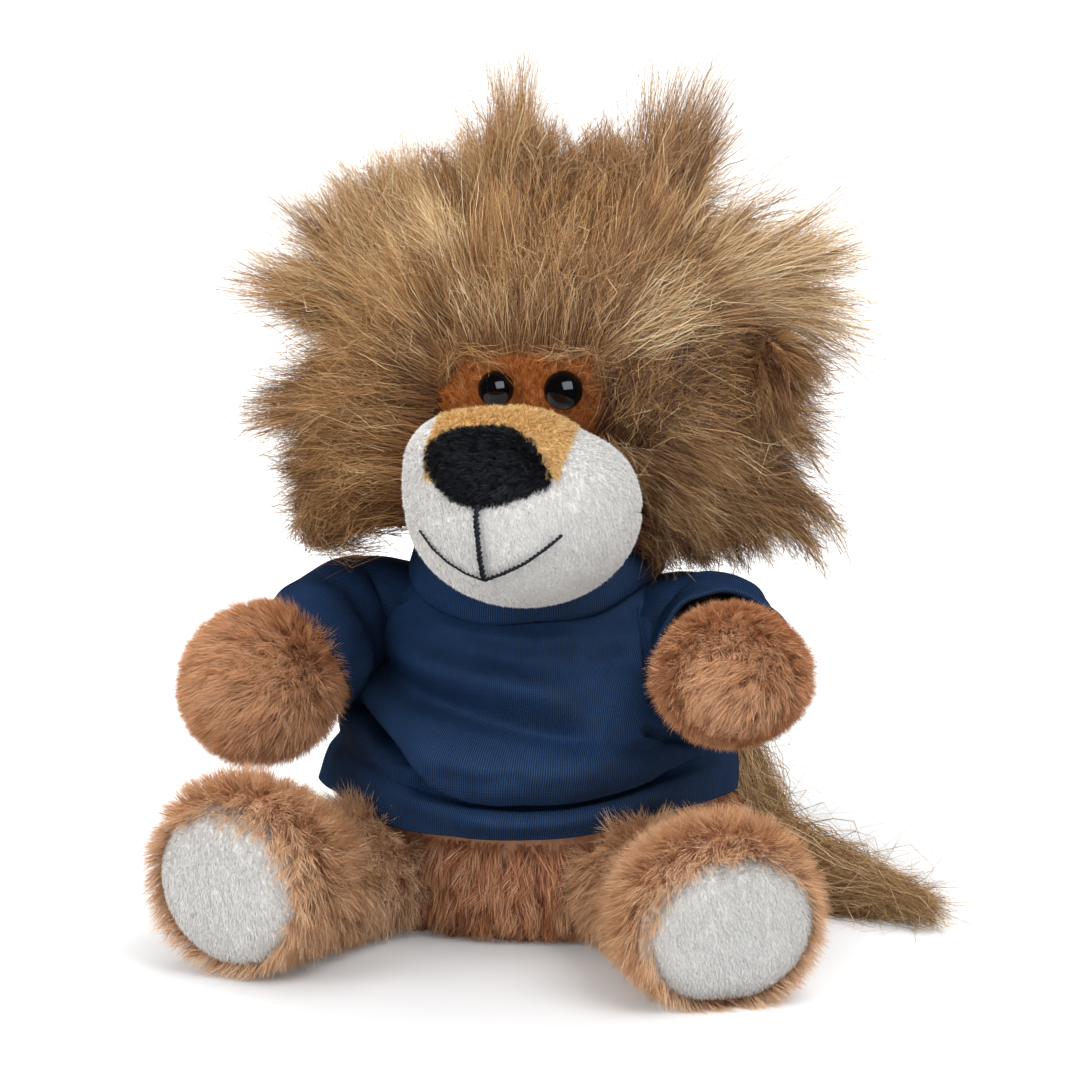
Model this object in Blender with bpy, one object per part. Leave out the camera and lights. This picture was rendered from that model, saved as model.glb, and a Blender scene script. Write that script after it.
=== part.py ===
"""A seated plush lion in a knitted shirt, as the separate sewn and stuffed pieces it is made of.

Metres, +Z up. The lion faces -Y, and its left side is +X. The origin is the middle of the
flat seat. Every skin is an open bag of cloth round its own filling, and every limb turns on
a round root that sits in a hollow of the torso.
"""

import math

import bmesh
import bpy
from mathutils import Matrix, Vector

MM = 0.001

# Clearances between neighbours
GAP = 0.3 * MM
TURNING_GAP = 0.4 * MM
OVERRUN = 2.0 * MM
FLAT_CUT = 0.5 * MM
FACET_ROOM = 0.5 * MM

# Cloth
SKIN = 2.2 * MM
SHORT_PLUSH = 1.6 * MM
KNIT = 1.1 * MM

# Torso
TORSO_HEIGHT = 78.0 * MM
TORSO_HALF_WIDTH = 41.0 * MM
TORSO_HALF_DEPTH = 37.0 * MM
TORSO_SHARES = (
    (0.00, 0.74, 0.76),
    (0.05, 0.88, 0.89),
    (0.15, 0.975, 0.97),
    (0.32, 1.00, 1.00),
    (0.49, 0.96, 0.97),
    (0.64, 0.885, 0.88),
    (0.77, 0.81, 0.78),
    (0.87, 0.70, 0.66),
    (0.95, 0.53, 0.52),
    (1.00, 0.40, 0.41),
)
PELLET_RADIUS = 23.0 * MM
PELLET_HEIGHT = 13.0 * MM
PELLET_CROWN_DEG = 75.0

# Neck, a plug of filling with a ball on top
NECK_X = 4.0 * MM
NECK_Y = 1.0 * MM
NECK_SINK = 20.0 * MM
NECK_BASE_Z = TORSO_HEIGHT - NECK_SINK
NECK_RADIUS = 9.0 * MM
NECK_BALL_RADIUS = 12.0 * MM
NECK_RISE = 12.0 * MM
NECK_BALL_Z = TORSO_HEIGHT + NECK_RISE
NECK_TOP_DEG = 15.0

# Arms
SHOULDER_INSET = 2.0 * MM
SHOULDER_X = TORSO_HALF_WIDTH - SHOULDER_INSET
SHOULDER_Y = -6.0 * MM
SHOULDER_DROP = 14.5 * MM
SHOULDER_Z = TORSO_HEIGHT - SHOULDER_DROP
ARM_ROOT_RADIUS = 10.6 * MM
ARM_LENGTH = 53.0 * MM
PAW_RADIUS = 15.2 * MM
ARM_OUT_DEG = {"left": 21.0, "right": 17.0}
ARM_DOWN_DEG = {"left": 3.5, "right": 14.5}
ARM_RAISE_DEG = -20.0
ARM_LOWER_DEG = 10.0
SWING_ROOM_SHARE = 0.8
PAW_START_SHARE = 0.42
PAW_MIDDLE_SHARE = 0.70
ARM_RING_SHARES = (0.22, 0.40, 0.48, 0.58, 0.70, 0.82, 0.91, 0.97)

# Sleeves
SLEEVE_LENGTH = 20.0 * MM
SLEEVE_FLARE = 2.4 * MM
SLEEVE_ROOT = 6.0 * MM
SLEEVE_INSIDE_X = SHOULDER_X - SLEEVE_ROOT
SLEEVE_RING_SHARES = (0.3, 0.6, 0.88, 1.0)

# Legs
HIP_INSET = 11.0 * MM
HIP_X = TORSO_HALF_WIDTH - HIP_INSET
HIP_SETBACK = 6.0 * MM
HIP_Y = HIP_SETBACK - TORSO_HALF_DEPTH
HIP_Z = 14.4 * MM
LEG_ROOT_RADIUS = 13.0 * MM
LEFT_LEG_LENGTH = 54.0 * MM
RIGHT_LEG_LENGTH = 48.5 * MM
LEG_LENGTH = {"left": LEFT_LEG_LENGTH, "right": RIGHT_LEG_LENGTH}
FOOT_HALF_WIDTH = 19.5 * MM
FOOT_HALF_HEIGHT = 18.0 * MM
FOOT_ROLL_DEG = 20.0
LEG_OUT_DEG = {"left": 33.0, "right": 19.5}
LEG_SETTLED_SHARE = 0.35
LEG_RING_SHARES = (0.2, 0.4, 0.55, 0.68, 0.8, 0.91, 1.0)
LEG_SHARES = (
    (0.00, 0.667, 0.756),
    (0.30, 0.650, 0.740),
    (0.55, 0.800, 0.860),
    (0.78, 0.985, 0.990),
    (0.90, 1.000, 1.000),
    (1.00, 0.930, 0.890),
)
SOLE_DOME = 3.6 * MM
SOLE_EDGE = 0.8 * MM
SOLE_FRONT_SHARES = (0.35, 0.65, 0.88, 1.0)
SOLE_BACK_SHARES = (1.0, 0.6)

# Shirt, measured outwards from the torso
SHIRT_SLACK = 4.2 * MM
SHIRT_TOP_DROP = 11.5 * MM
SHIRT_TOP_Z = TORSO_HEIGHT - SHIRT_TOP_DROP
HEM_FRONT_Z = 22.5 * MM
HEM_SIDE_Z = 28.5 * MM
HEM_THIGH_RISE = 1.6 * MM
HEM_BACK_Z = 28.0 * MM
HEM_THIGH_SHARE = 0.76
HEM_THIGH_WIDTH_SHARE = 0.17
HEM_DIP_SHARE = 0.80
SHIRT_RING_SHARES = (0.0, 0.07, 0.14, 0.20, 0.28, 0.42, 0.58, 0.74, 0.88, 1.0)
SHIRT_SLACK_SHARES = (
    (0.00, 0.55, 0.55),
    (0.14, 0.40, 0.62),
    (0.20, 0.20, 0.10),
    (0.28, 0.45, 0.75),
    (0.42, 0.50, 1.00),
    (0.62, 0.40, 0.62),
    (0.82, 0.32, 0.40),
    (1.00, 0.28, 0.30),
)
COLLAR_HEIGHT = 12.0 * MM
COLLAR_THICKNESS = 2.4 * MM
COLLAR_LEAN = 5.5 * MM
COLLAR_LEAN_POWER = 1.5
COLLAR_RING_SHARES = (0.0, 0.35, 0.7, 1.0)

# Tail
TAIL_ROOT_X = 9.0 * MM
TAIL_ROOT_OUT = 1.4 * MM
TAIL_ROOT_Y = TORSO_HALF_DEPTH + TAIL_ROOT_OUT
TAIL_ROOT_Z = 20.0 * MM
TAIL_ROOT_RADIUS = 5.4 * MM
TAIL_REACH = 82.0 * MM
TAIL_DEPTH = 34.0 * MM
TAIL_DROP = 15.5 * MM
TAIL_BRUSH_RADIUS = 10.0 * MM
TAIL_STEM_SHARE = 0.24
TAIL_STEP_SHARE = 0.02
TAIL_SEAM = 0.4 * MM
TAIL_ROUTE_SHARES = (
    (0.00, 0.00, 0.00, 0.00),
    (0.20, 0.17, 0.25, 0.42),
    (0.38, 0.38, 0.06, 0.42),
    (0.58, 0.52, -0.20, -0.42),
    (0.78, 0.74, -0.58, -0.84),
    (1.00, 1.00, -1.02, -1.04),
)
TAIL_BRUSH_SHARES = (
    (0.00, 0.48),
    (0.18, 0.82),
    (0.45, 1.00),
    (0.75, 0.88),
    (0.92, 0.52),
    (1.00, 0.16),
)

# Head
HEAD_LEAN_X = 3.0 * MM
HEAD_X = NECK_X + HEAD_LEAN_X
HEAD_LEAN_Y = 1.0 * MM
HEAD_Y = NECK_Y + HEAD_LEAN_Y
HEAD_RISE = 28.0 * MM
HEAD_Z = NECK_BALL_Z + HEAD_RISE
HEAD_HALF_WIDTH = 35.0 * MM
HEAD_HALF_DEPTH = 33.0 * MM
HEAD_HALF_HEIGHT = 35.0 * MM

# Muzzle
MUZZLE_SHIFT_X = 1.0 * MM
MUZZLE_X = HEAD_X + MUZZLE_SHIFT_X
MUZZLE_OUT = 44.5 * MM
MUZZLE_Y = HEAD_Y - MUZZLE_OUT
MUZZLE_DROP = 23.0 * MM
MUZZLE_Z = HEAD_Z - MUZZLE_DROP
MUZZLE_HALF_WIDTH = 24.5 * MM
MUZZLE_HALF_DEPTH = 23.0 * MM
MUZZLE_HALF_HEIGHT = 20.3 * MM
MUZZLE_TURN_DEG = -8.0
MUZZLE_WRAP_DEG = 104.0
BRIDGE_HALF_DEG = 34.0
BRIDGE_FROM_DEG = 26.0
BRIDGE_TO_DEG = 122.0
SEAM_DEG = 0.8

# Nose
NOSE_HALF_WIDTH = 12.6 * MM
NOSE_HALF_HEIGHT = 8.4 * MM
NOSE_THICKNESS = 3.0 * MM
NOSE_LIFT_DEG = 31.0
NOSE_TILT_DEG = 9.0
NOSE_EDGE_SHARE = 0.35
NOSE_FRONT_SHARES = (0.35, 0.65, 0.86, 0.97, 1.0)
NOSE_BACK_SHARES = (1.0, 0.7, 0.35)

# Mouth
THREAD_RADIUS = 0.5 * MM
MOUTH_TOP_DEG = 3.0
MOUTH_BOTTOM_DEG = -36.0
SMILE_END_DEG = -8.0
SMILE_HALF_DEG = 41.0
SMILE_POWER = 1.7

# Face panel
FACE_RIGHT_DEG = -36.0
FACE_LEFT_DEG = 28.0
FACE_TOP_DEG = 14.0
FACE_BOTTOM_DEG = -24.0

# Eyes
EYE_SPACING = 14.8 * MM
EYE_LIFT = 0.0 * MM
EYE_RADIUS = 4.0 * MM
EYE_HEIGHT = 3.2 * MM
EYE_RIM = 0.6 * MM
EYE_DOME_DEG = 78.0
SHANK_RADIUS = 1.3 * MM
SHANK_LENGTH = 8.0 * MM
WASHER_RADIUS = 4.4 * MM
WASHER_THICKNESS = 1.1 * MM
WASHER_SETBACK = 0.4 * MM

# Ears
EAR_HALF_WIDTH = 9.0 * MM
EAR_HALF_THICKNESS = 3.4 * MM
EAR_HALF_HEIGHT = 9.0 * MM
EAR_PROUD = 3.0 * MM
EAR_OUT = HEAD_HALF_WIDTH + EAR_PROUD
EAR_LIFT = -1.0 * MM
EAR_BACK = 2.0 * MM

# Mane, measured from its own middle, which is a little to the right of the head's
MANE_SHIFT_X = -7.0 * MM
MANE_HALF_WIDTH = 47.0 * MM
MANE_FRONT_PROUD = 2.0 * MM
MANE_FRONT = HEAD_HALF_DEPTH + MANE_FRONT_PROUD
MANE_BACK = 41.0 * MM
MANE_UP = 40.5 * MM
MANE_DOWN = 38.0 * MM
MANE_TUFT = 26.0 * MM
MANE_NECK_RADIUS = 21.0 * MM
MANE_COLLAR_RADIUS = 31.0 * MM
MANE_COLLAR_ROOM = 4.0 * MM
FACE_WINDOW_SHIFT_X = -2.5 * MM
FACE_WINDOW_DROP = 6.0 * MM
FACE_WINDOW_HALF_WIDTH = 20.0 * MM
FACE_WINDOW_HALF_HEIGHT = 14.5 * MM
TUFT_SHARES = (
    (-8, 3, 63, 0.70, 50),
    (31, 13, 59, 0.76, 50),
    (-38, 3, 40, 0.35, 40),
    (-64, -2, 14, 0.54, 50),
    (-63, -2, -16, 0.44, 50),
    (-52, 3, -40, 0.46, 46),
    (72, 8, 8, 0.32, 50),
    (67, 13, 27, 0.57, 50),
    (61, 8, -17, 0.34, 50),
    (61, 6, -36, 0.66, 50),
    (38, -4, -42, 0.30, 34),
    (-48, -33, -15, 0.46, 30),
    (-36, -32, -35, 0.60, 30),
    (33, -19, -46, 0.40, 30),
    (41, 24, -37, 0.40, 34),
    (29, 34, 40, 0.28, 34),
    (56, 20, 10, 0.42, 34),
    (-37, -10, -46, 0.17, 34),
    (0, 60, 22, 0.22, 26),
    (-34, 52, -8, 0.22, 26),
    (36, 50, 2, 0.20, 26),
    (0, 58, -22, 0.22, 26),
    (-8, 44, 50, 0.18, 26),
)

# Numbers of sides and rings
BODY_SIDES = 20
LIMB_SIDES = 12
SMALL_SIDES = 10
BALL_RINGS = 8
HEAD_SIDES = 16
HEAD_RINGS = 10
MANE_SIDES = 28
MANE_RINGS = 16
THREAD_SIDES = 6

X_AXIS = Vector((1, 0, 0))
Y_AXIS = Vector((0, 1, 0))
Z_AXIS = Vector((0, 0, 1))

# Places and half sizes worked out from the values above
SIDES = (("left", 1.0), ("right", -1.0))
NECK_FOOT = Vector((NECK_X, NECK_Y, 0))
TAIL_ROOT = Vector((TAIL_ROOT_X, TAIL_ROOT_Y, TAIL_ROOT_Z))
HEAD_PLACE = Vector((HEAD_X, HEAD_Y, HEAD_Z))
HEAD_HALVES = (HEAD_HALF_WIDTH, HEAD_HALF_DEPTH, HEAD_HALF_HEIGHT)
MUZZLE_PLACE = Vector((MUZZLE_X, MUZZLE_Y, MUZZLE_Z))
MUZZLE_HALVES = (MUZZLE_HALF_WIDTH, MUZZLE_HALF_DEPTH, MUZZLE_HALF_HEIGHT)

# Colours, 0 to 255

FUR_TAN = (178, 124, 84)
FUR_BROWN = (140, 104, 66)
PLUSH_ORANGE = (176, 88, 30)
PLUSH_OCHRE = (196, 134, 66)
MINKY_WHITE = (226, 226, 224)
PILE_BLACK = (14, 14, 16)
KNIT_NAVY = (20, 48, 86)
FIBRE_WHITE = (236, 234, 228)
PLASTIC_CLEAR = (222, 222, 218)
CLOTH_GREY = (190, 190, 186)


def clear_scene():
    """Leave nothing of an earlier model in the scene."""
    for item in list(bpy.data.objects):
        bpy.data.objects.remove(item, do_unlink=True)


def linear(colour):
    """A screen colour, 0 to 255, as the linear values that a shader takes."""
    shares = [channel / 255 for channel in colour]
    return [s / 12.92 if s <= 0.04045 else ((s + 0.055) / 1.055) ** 2.4 for s in shares]


def finish(name, colour, roughness):
    """A material of one colour and roughness, with no metal in it."""
    material = bpy.data.materials.new(name)
    material.use_nodes = True
    shader = material.node_tree.nodes["Principled BSDF"]
    shader.inputs["Base Color"].default_value = (*linear(colour), 1)
    shader.inputs["Roughness"].default_value = roughness
    shader.inputs["Metallic"].default_value = 0
    return material


def pivot(name, place, parent=None):
    """An empty on a joint, which the pieces of one moving body hang on."""
    empty = bpy.data.objects.new(name, None)
    empty.location = place
    if parent:
        empty.parent = parent
        empty.location = Vector(place) - world_place(parent)
    bpy.context.scene.collection.objects.link(empty)
    return empty


def world_place(item):
    """Where an empty stands, through its parents."""
    place = Vector(item.location)
    return place + world_place(item.parent) if item.parent else place


def make(name, shape, holder, material=None, sharp_deg=40.0):
    """One closed piece from world-space points and faces, hung on its body's empty."""
    points, faces = shape
    start = world_place(holder)
    mesh = bpy.data.meshes.new(name)
    mesh.from_pydata([Vector(p) - start for p in points], [], faces)
    solid = bmesh.new()
    solid.from_mesh(mesh)
    bmesh.ops.recalc_face_normals(solid, faces=solid.faces)
    solid.to_mesh(mesh)
    solid.free()
    mesh.shade_smooth()
    mesh.set_sharp_from_angle(angle=math.radians(sharp_deg))
    piece = bpy.data.objects.new(name, mesh)
    piece.parent = holder
    bpy.context.scene.collection.objects.link(piece)
    if material:
        mesh.materials.append(material)
    return piece


def guide(name, shape, holder):
    """A shape that only cuts or joins others."""
    piece = make(name, shape, holder)
    piece.hide_render = True
    piece.display_type = "WIRE"
    return piece


def combine(piece, other, operation="DIFFERENCE"):
    """Cut a piece by another shape, or join the two."""
    modifier = piece.modifiers.new(other.name, "BOOLEAN")
    modifier.object = other
    modifier.operation = operation
    modifier.solver = "EXACT"


def between(table, share):
    """The other columns of a table at a share of its first, on a smooth curve."""
    last = len(table) - 1
    index = min(max(sum(row[0] <= share for row in table) - 1, 0), last - 1)
    before, low, high, after = (
        table[min(max(index + step, 0), last)] for step in (-1, 0, 1, 2)
    )
    span = high[0] - low[0]
    t = (share - low[0]) / span
    values = []
    for a, b, c, d in zip(before[1:], low[1:], high[1:], after[1:]):
        slope_b = (c - a) / (high[0] - before[0]) * span
        slope_c = (d - b) / (after[0] - low[0]) * span
        values.append(
            (2 * t**3 - 3 * t**2 + 1) * b
            + (t**3 - 2 * t**2 + t) * slope_b
            + (3 * t**2 - 2 * t**3) * c
            + (t**3 - t**2) * slope_c
        )
    return values


def eased(share):
    """0 to 1 with a soft start and end."""
    t = min(max(share, 0.0), 1.0)
    return t * t * (3 - 2 * t)


def steps(start, end, count):
    """Evenly spaced values, with both ends."""
    return [start + (end - start) * k / (count - 1) for k in range(count)]


def turn(count, k):
    """The angle of one of the points round a ring."""
    return 2 * math.pi * k / count


def oval(centre, across, up, half_across, half_up, count):
    """A ring of points on an oval."""
    return [
        centre
        + across * (half_across * math.cos(turn(count, k)))
        + up * (half_up * math.sin(turn(count, k)))
        for k in range(count)
    ]


def loft(rings, start, end):
    """A closed skin from one end point through rings of equal count to the other end point."""
    count = len(rings[0])
    points = [start] + [p for ring in rings for p in ring] + [end]
    faces = [(0, 1 + (k + 1) % count, 1 + k) for k in range(count)]
    for r in range(len(rings) - 1):
        low = 1 + r * count
        for k in range(count):
            after = (k + 1) % count
            faces.append((low + k, low + after, low + count + after, low + count + k))
    low, tip = 1 + (len(rings) - 1) * count, len(points) - 1
    faces += [(low + k, low + (k + 1) % count, tip) for k in range(count)]
    return points, faces


def sheet(outer, inner):
    """A closed sheet between two grids of points with the same rows and columns."""
    rows, columns = len(outer), len(outer[0])
    size = rows * columns
    points = [p for grid in (outer, inner) for row in grid for p in row]
    faces = []
    for r in range(rows - 1):
        for c in range(columns - 1):
            corner = r * columns + c
            face = (corner, corner + 1, corner + columns + 1, corner + columns)
            faces.append(face)
            faces.append(tuple(size + v for v in reversed(face)))
    edge = [c for c in range(columns)]
    edge += [r * columns + columns - 1 for r in range(1, rows)]
    edge += [(rows - 1) * columns + c for c in range(columns - 2, -1, -1)]
    edge += [r * columns for r in range(rows - 2, 0, -1)]
    for a, b in zip(edge, edge[1:] + edge[:1]):
        faces.append((b, a, size + a, size + b))
    return points, faces


def closed_band(outer, inner):
    """A closed ring-shaped sheet between two stacks of rings."""
    loops = list(outer) + list(reversed(inner))
    count = len(loops[0])
    points = [p for loop in loops for p in loop]
    faces = []
    for r in range(len(loops)):
        low, high = r * count, (r + 1) % len(loops) * count
        for k in range(count):
            after = (k + 1) % count
            faces.append((low + k, low + after, high + after, high + k))
    return points, faces


def ellipsoid(centre, halves, sides, rings, axis=2):
    """A round solid with its poles on one of the main axes."""
    across, up, along = (Vector([float(k == (axis + n) % 3) for k in range(3)]) for n in (1, 2, 0))
    half_across, half_up, half_along = halves[(axis + 1) % 3], halves[(axis + 2) % 3], halves[axis]
    stack = []
    for k in range(1, rings):
        tilt = math.pi * k / rings
        middle = centre - along * (half_along * math.cos(tilt))
        stack.append(
            oval(middle, across, up, half_across * math.sin(tilt), half_up * math.sin(tilt), sides)
        )
    return loft(stack, centre - along * half_along, centre + along * half_along)


def ball(centre, radius, sides=HEAD_SIDES, rings=HEAD_RINGS, axis=0):
    """A faceted ball whose flats lie outside the sphere, so that a round solid turns in it."""
    real = radius / math.cos(math.pi / sides) / math.cos(math.pi / rings / 2)
    return ellipsoid(Vector(centre), (real, real, real), sides, rings, axis)


def lathe(base, axis, profile, sides):
    """A turned solid from (distance along the axis, radius) pairs, pointed or flat at its ends."""
    across = axis.orthogonal().normalized()
    up = axis.cross(across)
    rings = [oval(base + axis * far, across, up, radius, radius, sides) for far, radius in profile]
    return loft(rings, base + axis * profile[0][0], base + axis * profile[-1][0])


def torso_halves(z):
    """Half width and half depth of the torso at a height."""
    share = min(max(z / TORSO_HEIGHT, 0.0), 1.0)
    width, depth = between(TORSO_SHARES, share)
    return width * TORSO_HALF_WIDTH, depth * TORSO_HALF_DEPTH


def torso_rings(inset, bottom, top):
    """Rings of the torso, drawn in by an inset, at the heights of its table."""
    rings = []
    for share in (row[0] for row in TORSO_SHARES):
        z = bottom + (top - bottom) * share
        half_width, half_depth = torso_halves(z)
        rings.append(
            oval(Z_AXIS * z, X_AXIS, Y_AXIS, half_width - inset, half_depth - inset, BODY_SIDES)
        )
    return rings


def shoulder(sign):
    """Where an arm turns."""
    return Vector((sign * SHOULDER_X, SHOULDER_Y, SHOULDER_Z))


def hip(sign):
    """Where a leg turns."""
    return Vector((sign * HIP_X, HIP_Y, HIP_Z))


def sleeve_radius(inset=0.0):
    """Outer radius of a sleeve round the shoulder, less an inset."""
    return ARM_ROOT_RADIUS + GAP + KNIT - inset


def wrap(points):
    """The closed convex skin round a set of points."""
    cloud = bmesh.new()
    for point in points:
        cloud.verts.new(point)
    hull = bmesh.ops.convex_hull(cloud, input=cloud.verts)
    inside = [v for v in hull["geom_interior"] if isinstance(v, bmesh.types.BMVert)]
    bmesh.ops.delete(cloud, geom=inside, context="VERTS")
    cloud.verts.index_update()
    shape = [v.co.copy() for v in cloud.verts], [[v.index for v in f.verts] for f in cloud.faces]
    cloud.free()
    return shape


def swing_room(side, sign, radius, inside_x):
    """The room that the upper arm sweeps, outside a distance from the middle."""
    points = []
    for angle in (ARM_RAISE_DEG, (ARM_RAISE_DEG + ARM_LOWER_DEG) / 2, ARM_LOWER_DEG):
        spin = Matrix.Rotation(math.radians(angle), 3, X_AXIS)
        for far, flare in ((0, 0), (SLEEVE_LENGTH * SWING_ROOM_SHARE, SLEEVE_FLARE)):
            middle = shoulder(sign) + spin @ arm_axis(side, sign) * far
            places = ball(middle, radius + flare * (inside_x > 0), LIMB_SIDES, BALL_RINGS)[0]
            points += [p for p in places if far or sign * p.x > inside_x]
    if inside_x:
        reach = math.sqrt(radius**2 - (SHOULDER_X - inside_x) ** 2) / math.cos(turn(LIMB_SIDES, 1))
        base = Vector((sign * inside_x, SHOULDER_Y, SHOULDER_Z))
        points += oval(base, Y_AXIS, Z_AXIS, reach, reach, LIMB_SIDES)
    return wrap(points)


def build_sockets(torso):
    """The hollows in which the limbs, the neck and the tail sit, by name."""
    sockets = {}
    for side, sign in SIDES:
        bare = swing_room(side, sign, ARM_ROOT_RADIUS + TURNING_GAP, 0)
        socket = guide("socket_arm_" + side, bare, torso)
        sleeved = swing_room(side, sign, sleeve_radius() + TURNING_GAP,
                             SLEEVE_INSIDE_X - TURNING_GAP)
        combine(socket, guide("socket_sleeve_" + side, sleeved, torso), "UNION")
        sockets["arm_" + side] = socket
        sockets["leg_" + side] = guide(
            "socket_leg_" + side, ball(hip(sign), LEG_ROOT_RADIUS + TURNING_GAP, LIMB_SIDES + 2,
                                       BALL_RINGS), torso
        )
    sockets["tail"] = guide(
        "socket_tail", ball(TAIL_ROOT, TAIL_ROOT_RADIUS + TURNING_GAP, SMALL_SIDES, BALL_RINGS, 1),
        torso
    )
    radius = NECK_RADIUS + TURNING_GAP
    profile = ((NECK_BASE_Z - GAP, radius), (TORSO_HEIGHT + OVERRUN, radius))
    sockets["neck"] = guide("socket_neck", lathe(NECK_FOOT, Z_AXIS, profile, HEAD_SIDES), torso)
    return sockets


def pellet_bag_shape(grow):
    """The pouch of pellets, flat below and crowned above, grown on its top and sides."""
    floor = SKIN + GAP
    height = PELLET_HEIGHT + grow
    rings = [
        oval(Z_AXIS * (floor + height * math.sin(tilt)), X_AXIS, Y_AXIS,
             (PELLET_RADIUS + grow) * math.cos(tilt), (PELLET_RADIUS + grow) * math.cos(tilt),
             LIMB_SIDES + 4)
        for tilt in steps(0, math.radians(PELLET_CROWN_DEG), 5)
    ]
    if grow:
        low = [Vector((p.x, p.y, floor - OVERRUN)) for p in rings[0]]
        rings.insert(0, low)
    return loft(rings, Z_AXIS * rings[0][0].z, Z_AXIS * (floor + height))


def build_torso(torso, looks, sockets):
    """The body bag, its filling and the pellets in the seat."""
    outer = torso_rings(0, 0, TORSO_HEIGHT)
    inner = torso_rings(SKIN, SKIN, TORSO_HEIGHT)
    shape = loft(outer + inner[::-1], Vector(), Z_AXIS * SKIN)
    skin = make("torso_skin", shape, torso, looks["fur_tan"])
    inset = SKIN + GAP
    rings = torso_rings(inset, inset, TORSO_HEIGHT - GAP)
    shape = loft(rings, Z_AXIS * inset, Z_AXIS * (TORSO_HEIGHT - GAP))
    filling = make("torso_stuffing", shape, torso, looks["fibre"])
    for name in ("arm_left", "arm_right", "leg_left", "leg_right"):
        combine(skin, sockets[name])
        combine(filling, sockets[name])
    combine(skin, sockets["tail"])
    combine(filling, sockets["tail"])
    combine(filling, sockets["neck"])
    combine(filling, guide("pellet_room", pellet_bag_shape(GAP), torso))
    make("pellet_bag", pellet_bag_shape(0), torso, looks["pouch"])


def build_neck(neck, looks):
    """The plug of filling in the neck, with the ball that the head sits on."""
    reach = NECK_BALL_Z - math.sqrt(NECK_BALL_RADIUS**2 - NECK_RADIUS**2)
    profile = [(NECK_BASE_Z, NECK_RADIUS), ((NECK_BASE_Z + reach) / 2, NECK_RADIUS)]
    tilt = math.asin(NECK_RADIUS / NECK_BALL_RADIUS)
    for angle in steps(math.pi - tilt, math.radians(NECK_TOP_DEG), 7):
        profile.append(
            (NECK_BALL_Z + NECK_BALL_RADIUS * math.cos(angle), NECK_BALL_RADIUS * math.sin(angle))
        )
    rings = [
        oval(NECK_FOOT + Z_AXIS * z, X_AXIS, Y_AXIS, radius, radius, LIMB_SIDES + 4)
        for z, radius in profile
    ]
    ends = [NECK_FOOT + Z_AXIS * z for z in (NECK_BASE_Z, NECK_BALL_Z + NECK_BALL_RADIUS)]
    make("neck_stuffing", loft(rings, *ends), neck, looks["fibre"])


def arm_axis(side, sign):
    """The way an arm points."""
    out, down = math.radians(ARM_OUT_DEG[side]), math.radians(ARM_DOWN_DEG[side])
    flat = math.cos(down)
    return Vector((sign * math.sin(out) * flat, -math.cos(out) * flat, -math.sin(down)))


def arm_radius(far):
    """Radius of an arm at a distance along its axis."""
    share = far / ARM_LENGTH
    paw_middle = PAW_MIDDLE_SHARE
    if share <= paw_middle:
        swell = eased((share - PAW_START_SHARE) / (paw_middle - PAW_START_SHARE))
        return ARM_ROOT_RADIUS + (PAW_RADIUS - ARM_ROOT_RADIUS) * swell
    rest = (share - paw_middle) / (1 - paw_middle)
    return PAW_RADIUS * math.sqrt(max(1 - rest**2, 0))


def round_root(radius, inset, count):
    """Distances behind the turning point, and radii there, of a limb's round root."""
    real = radius - inset
    return [(-real * math.cos(a), real * math.sin(a)) for a in steps(0, math.pi / 2, count)[1:]]


def arm_rings(side, sign, inset):
    """Rings of an arm and its two end points."""
    axis = arm_axis(side, sign)
    across = axis.cross(Z_AXIS).normalized()
    up = across.cross(axis)
    place = shoulder(sign)
    profile = round_root(ARM_ROOT_RADIUS, inset, 5)
    end = ARM_LENGTH - inset
    for share in ARM_RING_SHARES:
        radius = arm_radius(share * ARM_LENGTH) * (1 - inset / PAW_RADIUS)
        profile.append((share * end, radius))
    rings = [oval(place + axis * far, across, up, r, r, LIMB_SIDES) for far, r in profile]
    return rings, place - axis * (ARM_ROOT_RADIUS - inset), place + axis * end


def build_arm(side, sign, arm, looks):
    """An arm's bag, which is open at the shoulder seam, and its filling."""
    outer, _, outer_end = arm_rings(side, sign, 0)
    inner, _, inner_end = arm_rings(side, sign, SKIN)
    shape = loft(outer[::-1] + inner, outer_end, inner_end)
    make("arm_skin_" + side, shape, arm, looks["fur_tan"])
    rings, start, end = arm_rings(side, sign, SKIN + GAP)
    make("arm_stuffing_" + side, loft(rings, start, end), arm, looks["fibre"])


def build_sleeve(side, sign, arm, looks):
    """A short sleeve, round at the shoulder and flared to its cuff."""
    axis = arm_axis(side, sign)
    across = axis.cross(Z_AXIS).normalized()
    up = across.cross(axis)
    place = shoulder(sign)

    def loops(inset):
        radius = sleeve_radius(inset)
        profile = round_root(sleeve_radius(), inset, 5)
        for share in SLEEVE_RING_SHARES:
            profile.append((SLEEVE_LENGTH * share, radius + SLEEVE_FLARE * eased(share)))
        return [oval(place + axis * far, across, up, r, r, LIMB_SIDES) for far, r in profile]

    poles = [place - axis * sleeve_radius(inset) for inset in (0, KNIT)]
    shape = loft(loops(0) + loops(KNIT)[::-1], *poles)
    sleeve = make("sleeve_" + side, shape, arm, looks["knit"])
    inside = sign * SLEEVE_INSIDE_X
    reach = sleeve_radius() + OVERRUN
    profile = ((-reach, reach), (0, reach))
    base = Vector((inside, SHOULDER_Y, SHOULDER_Z))
    cutter = guide("sleeve_end_" + side, lathe(base, X_AXIS * sign, profile, SMALL_SIDES), arm)
    combine(sleeve, cutter)


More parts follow.
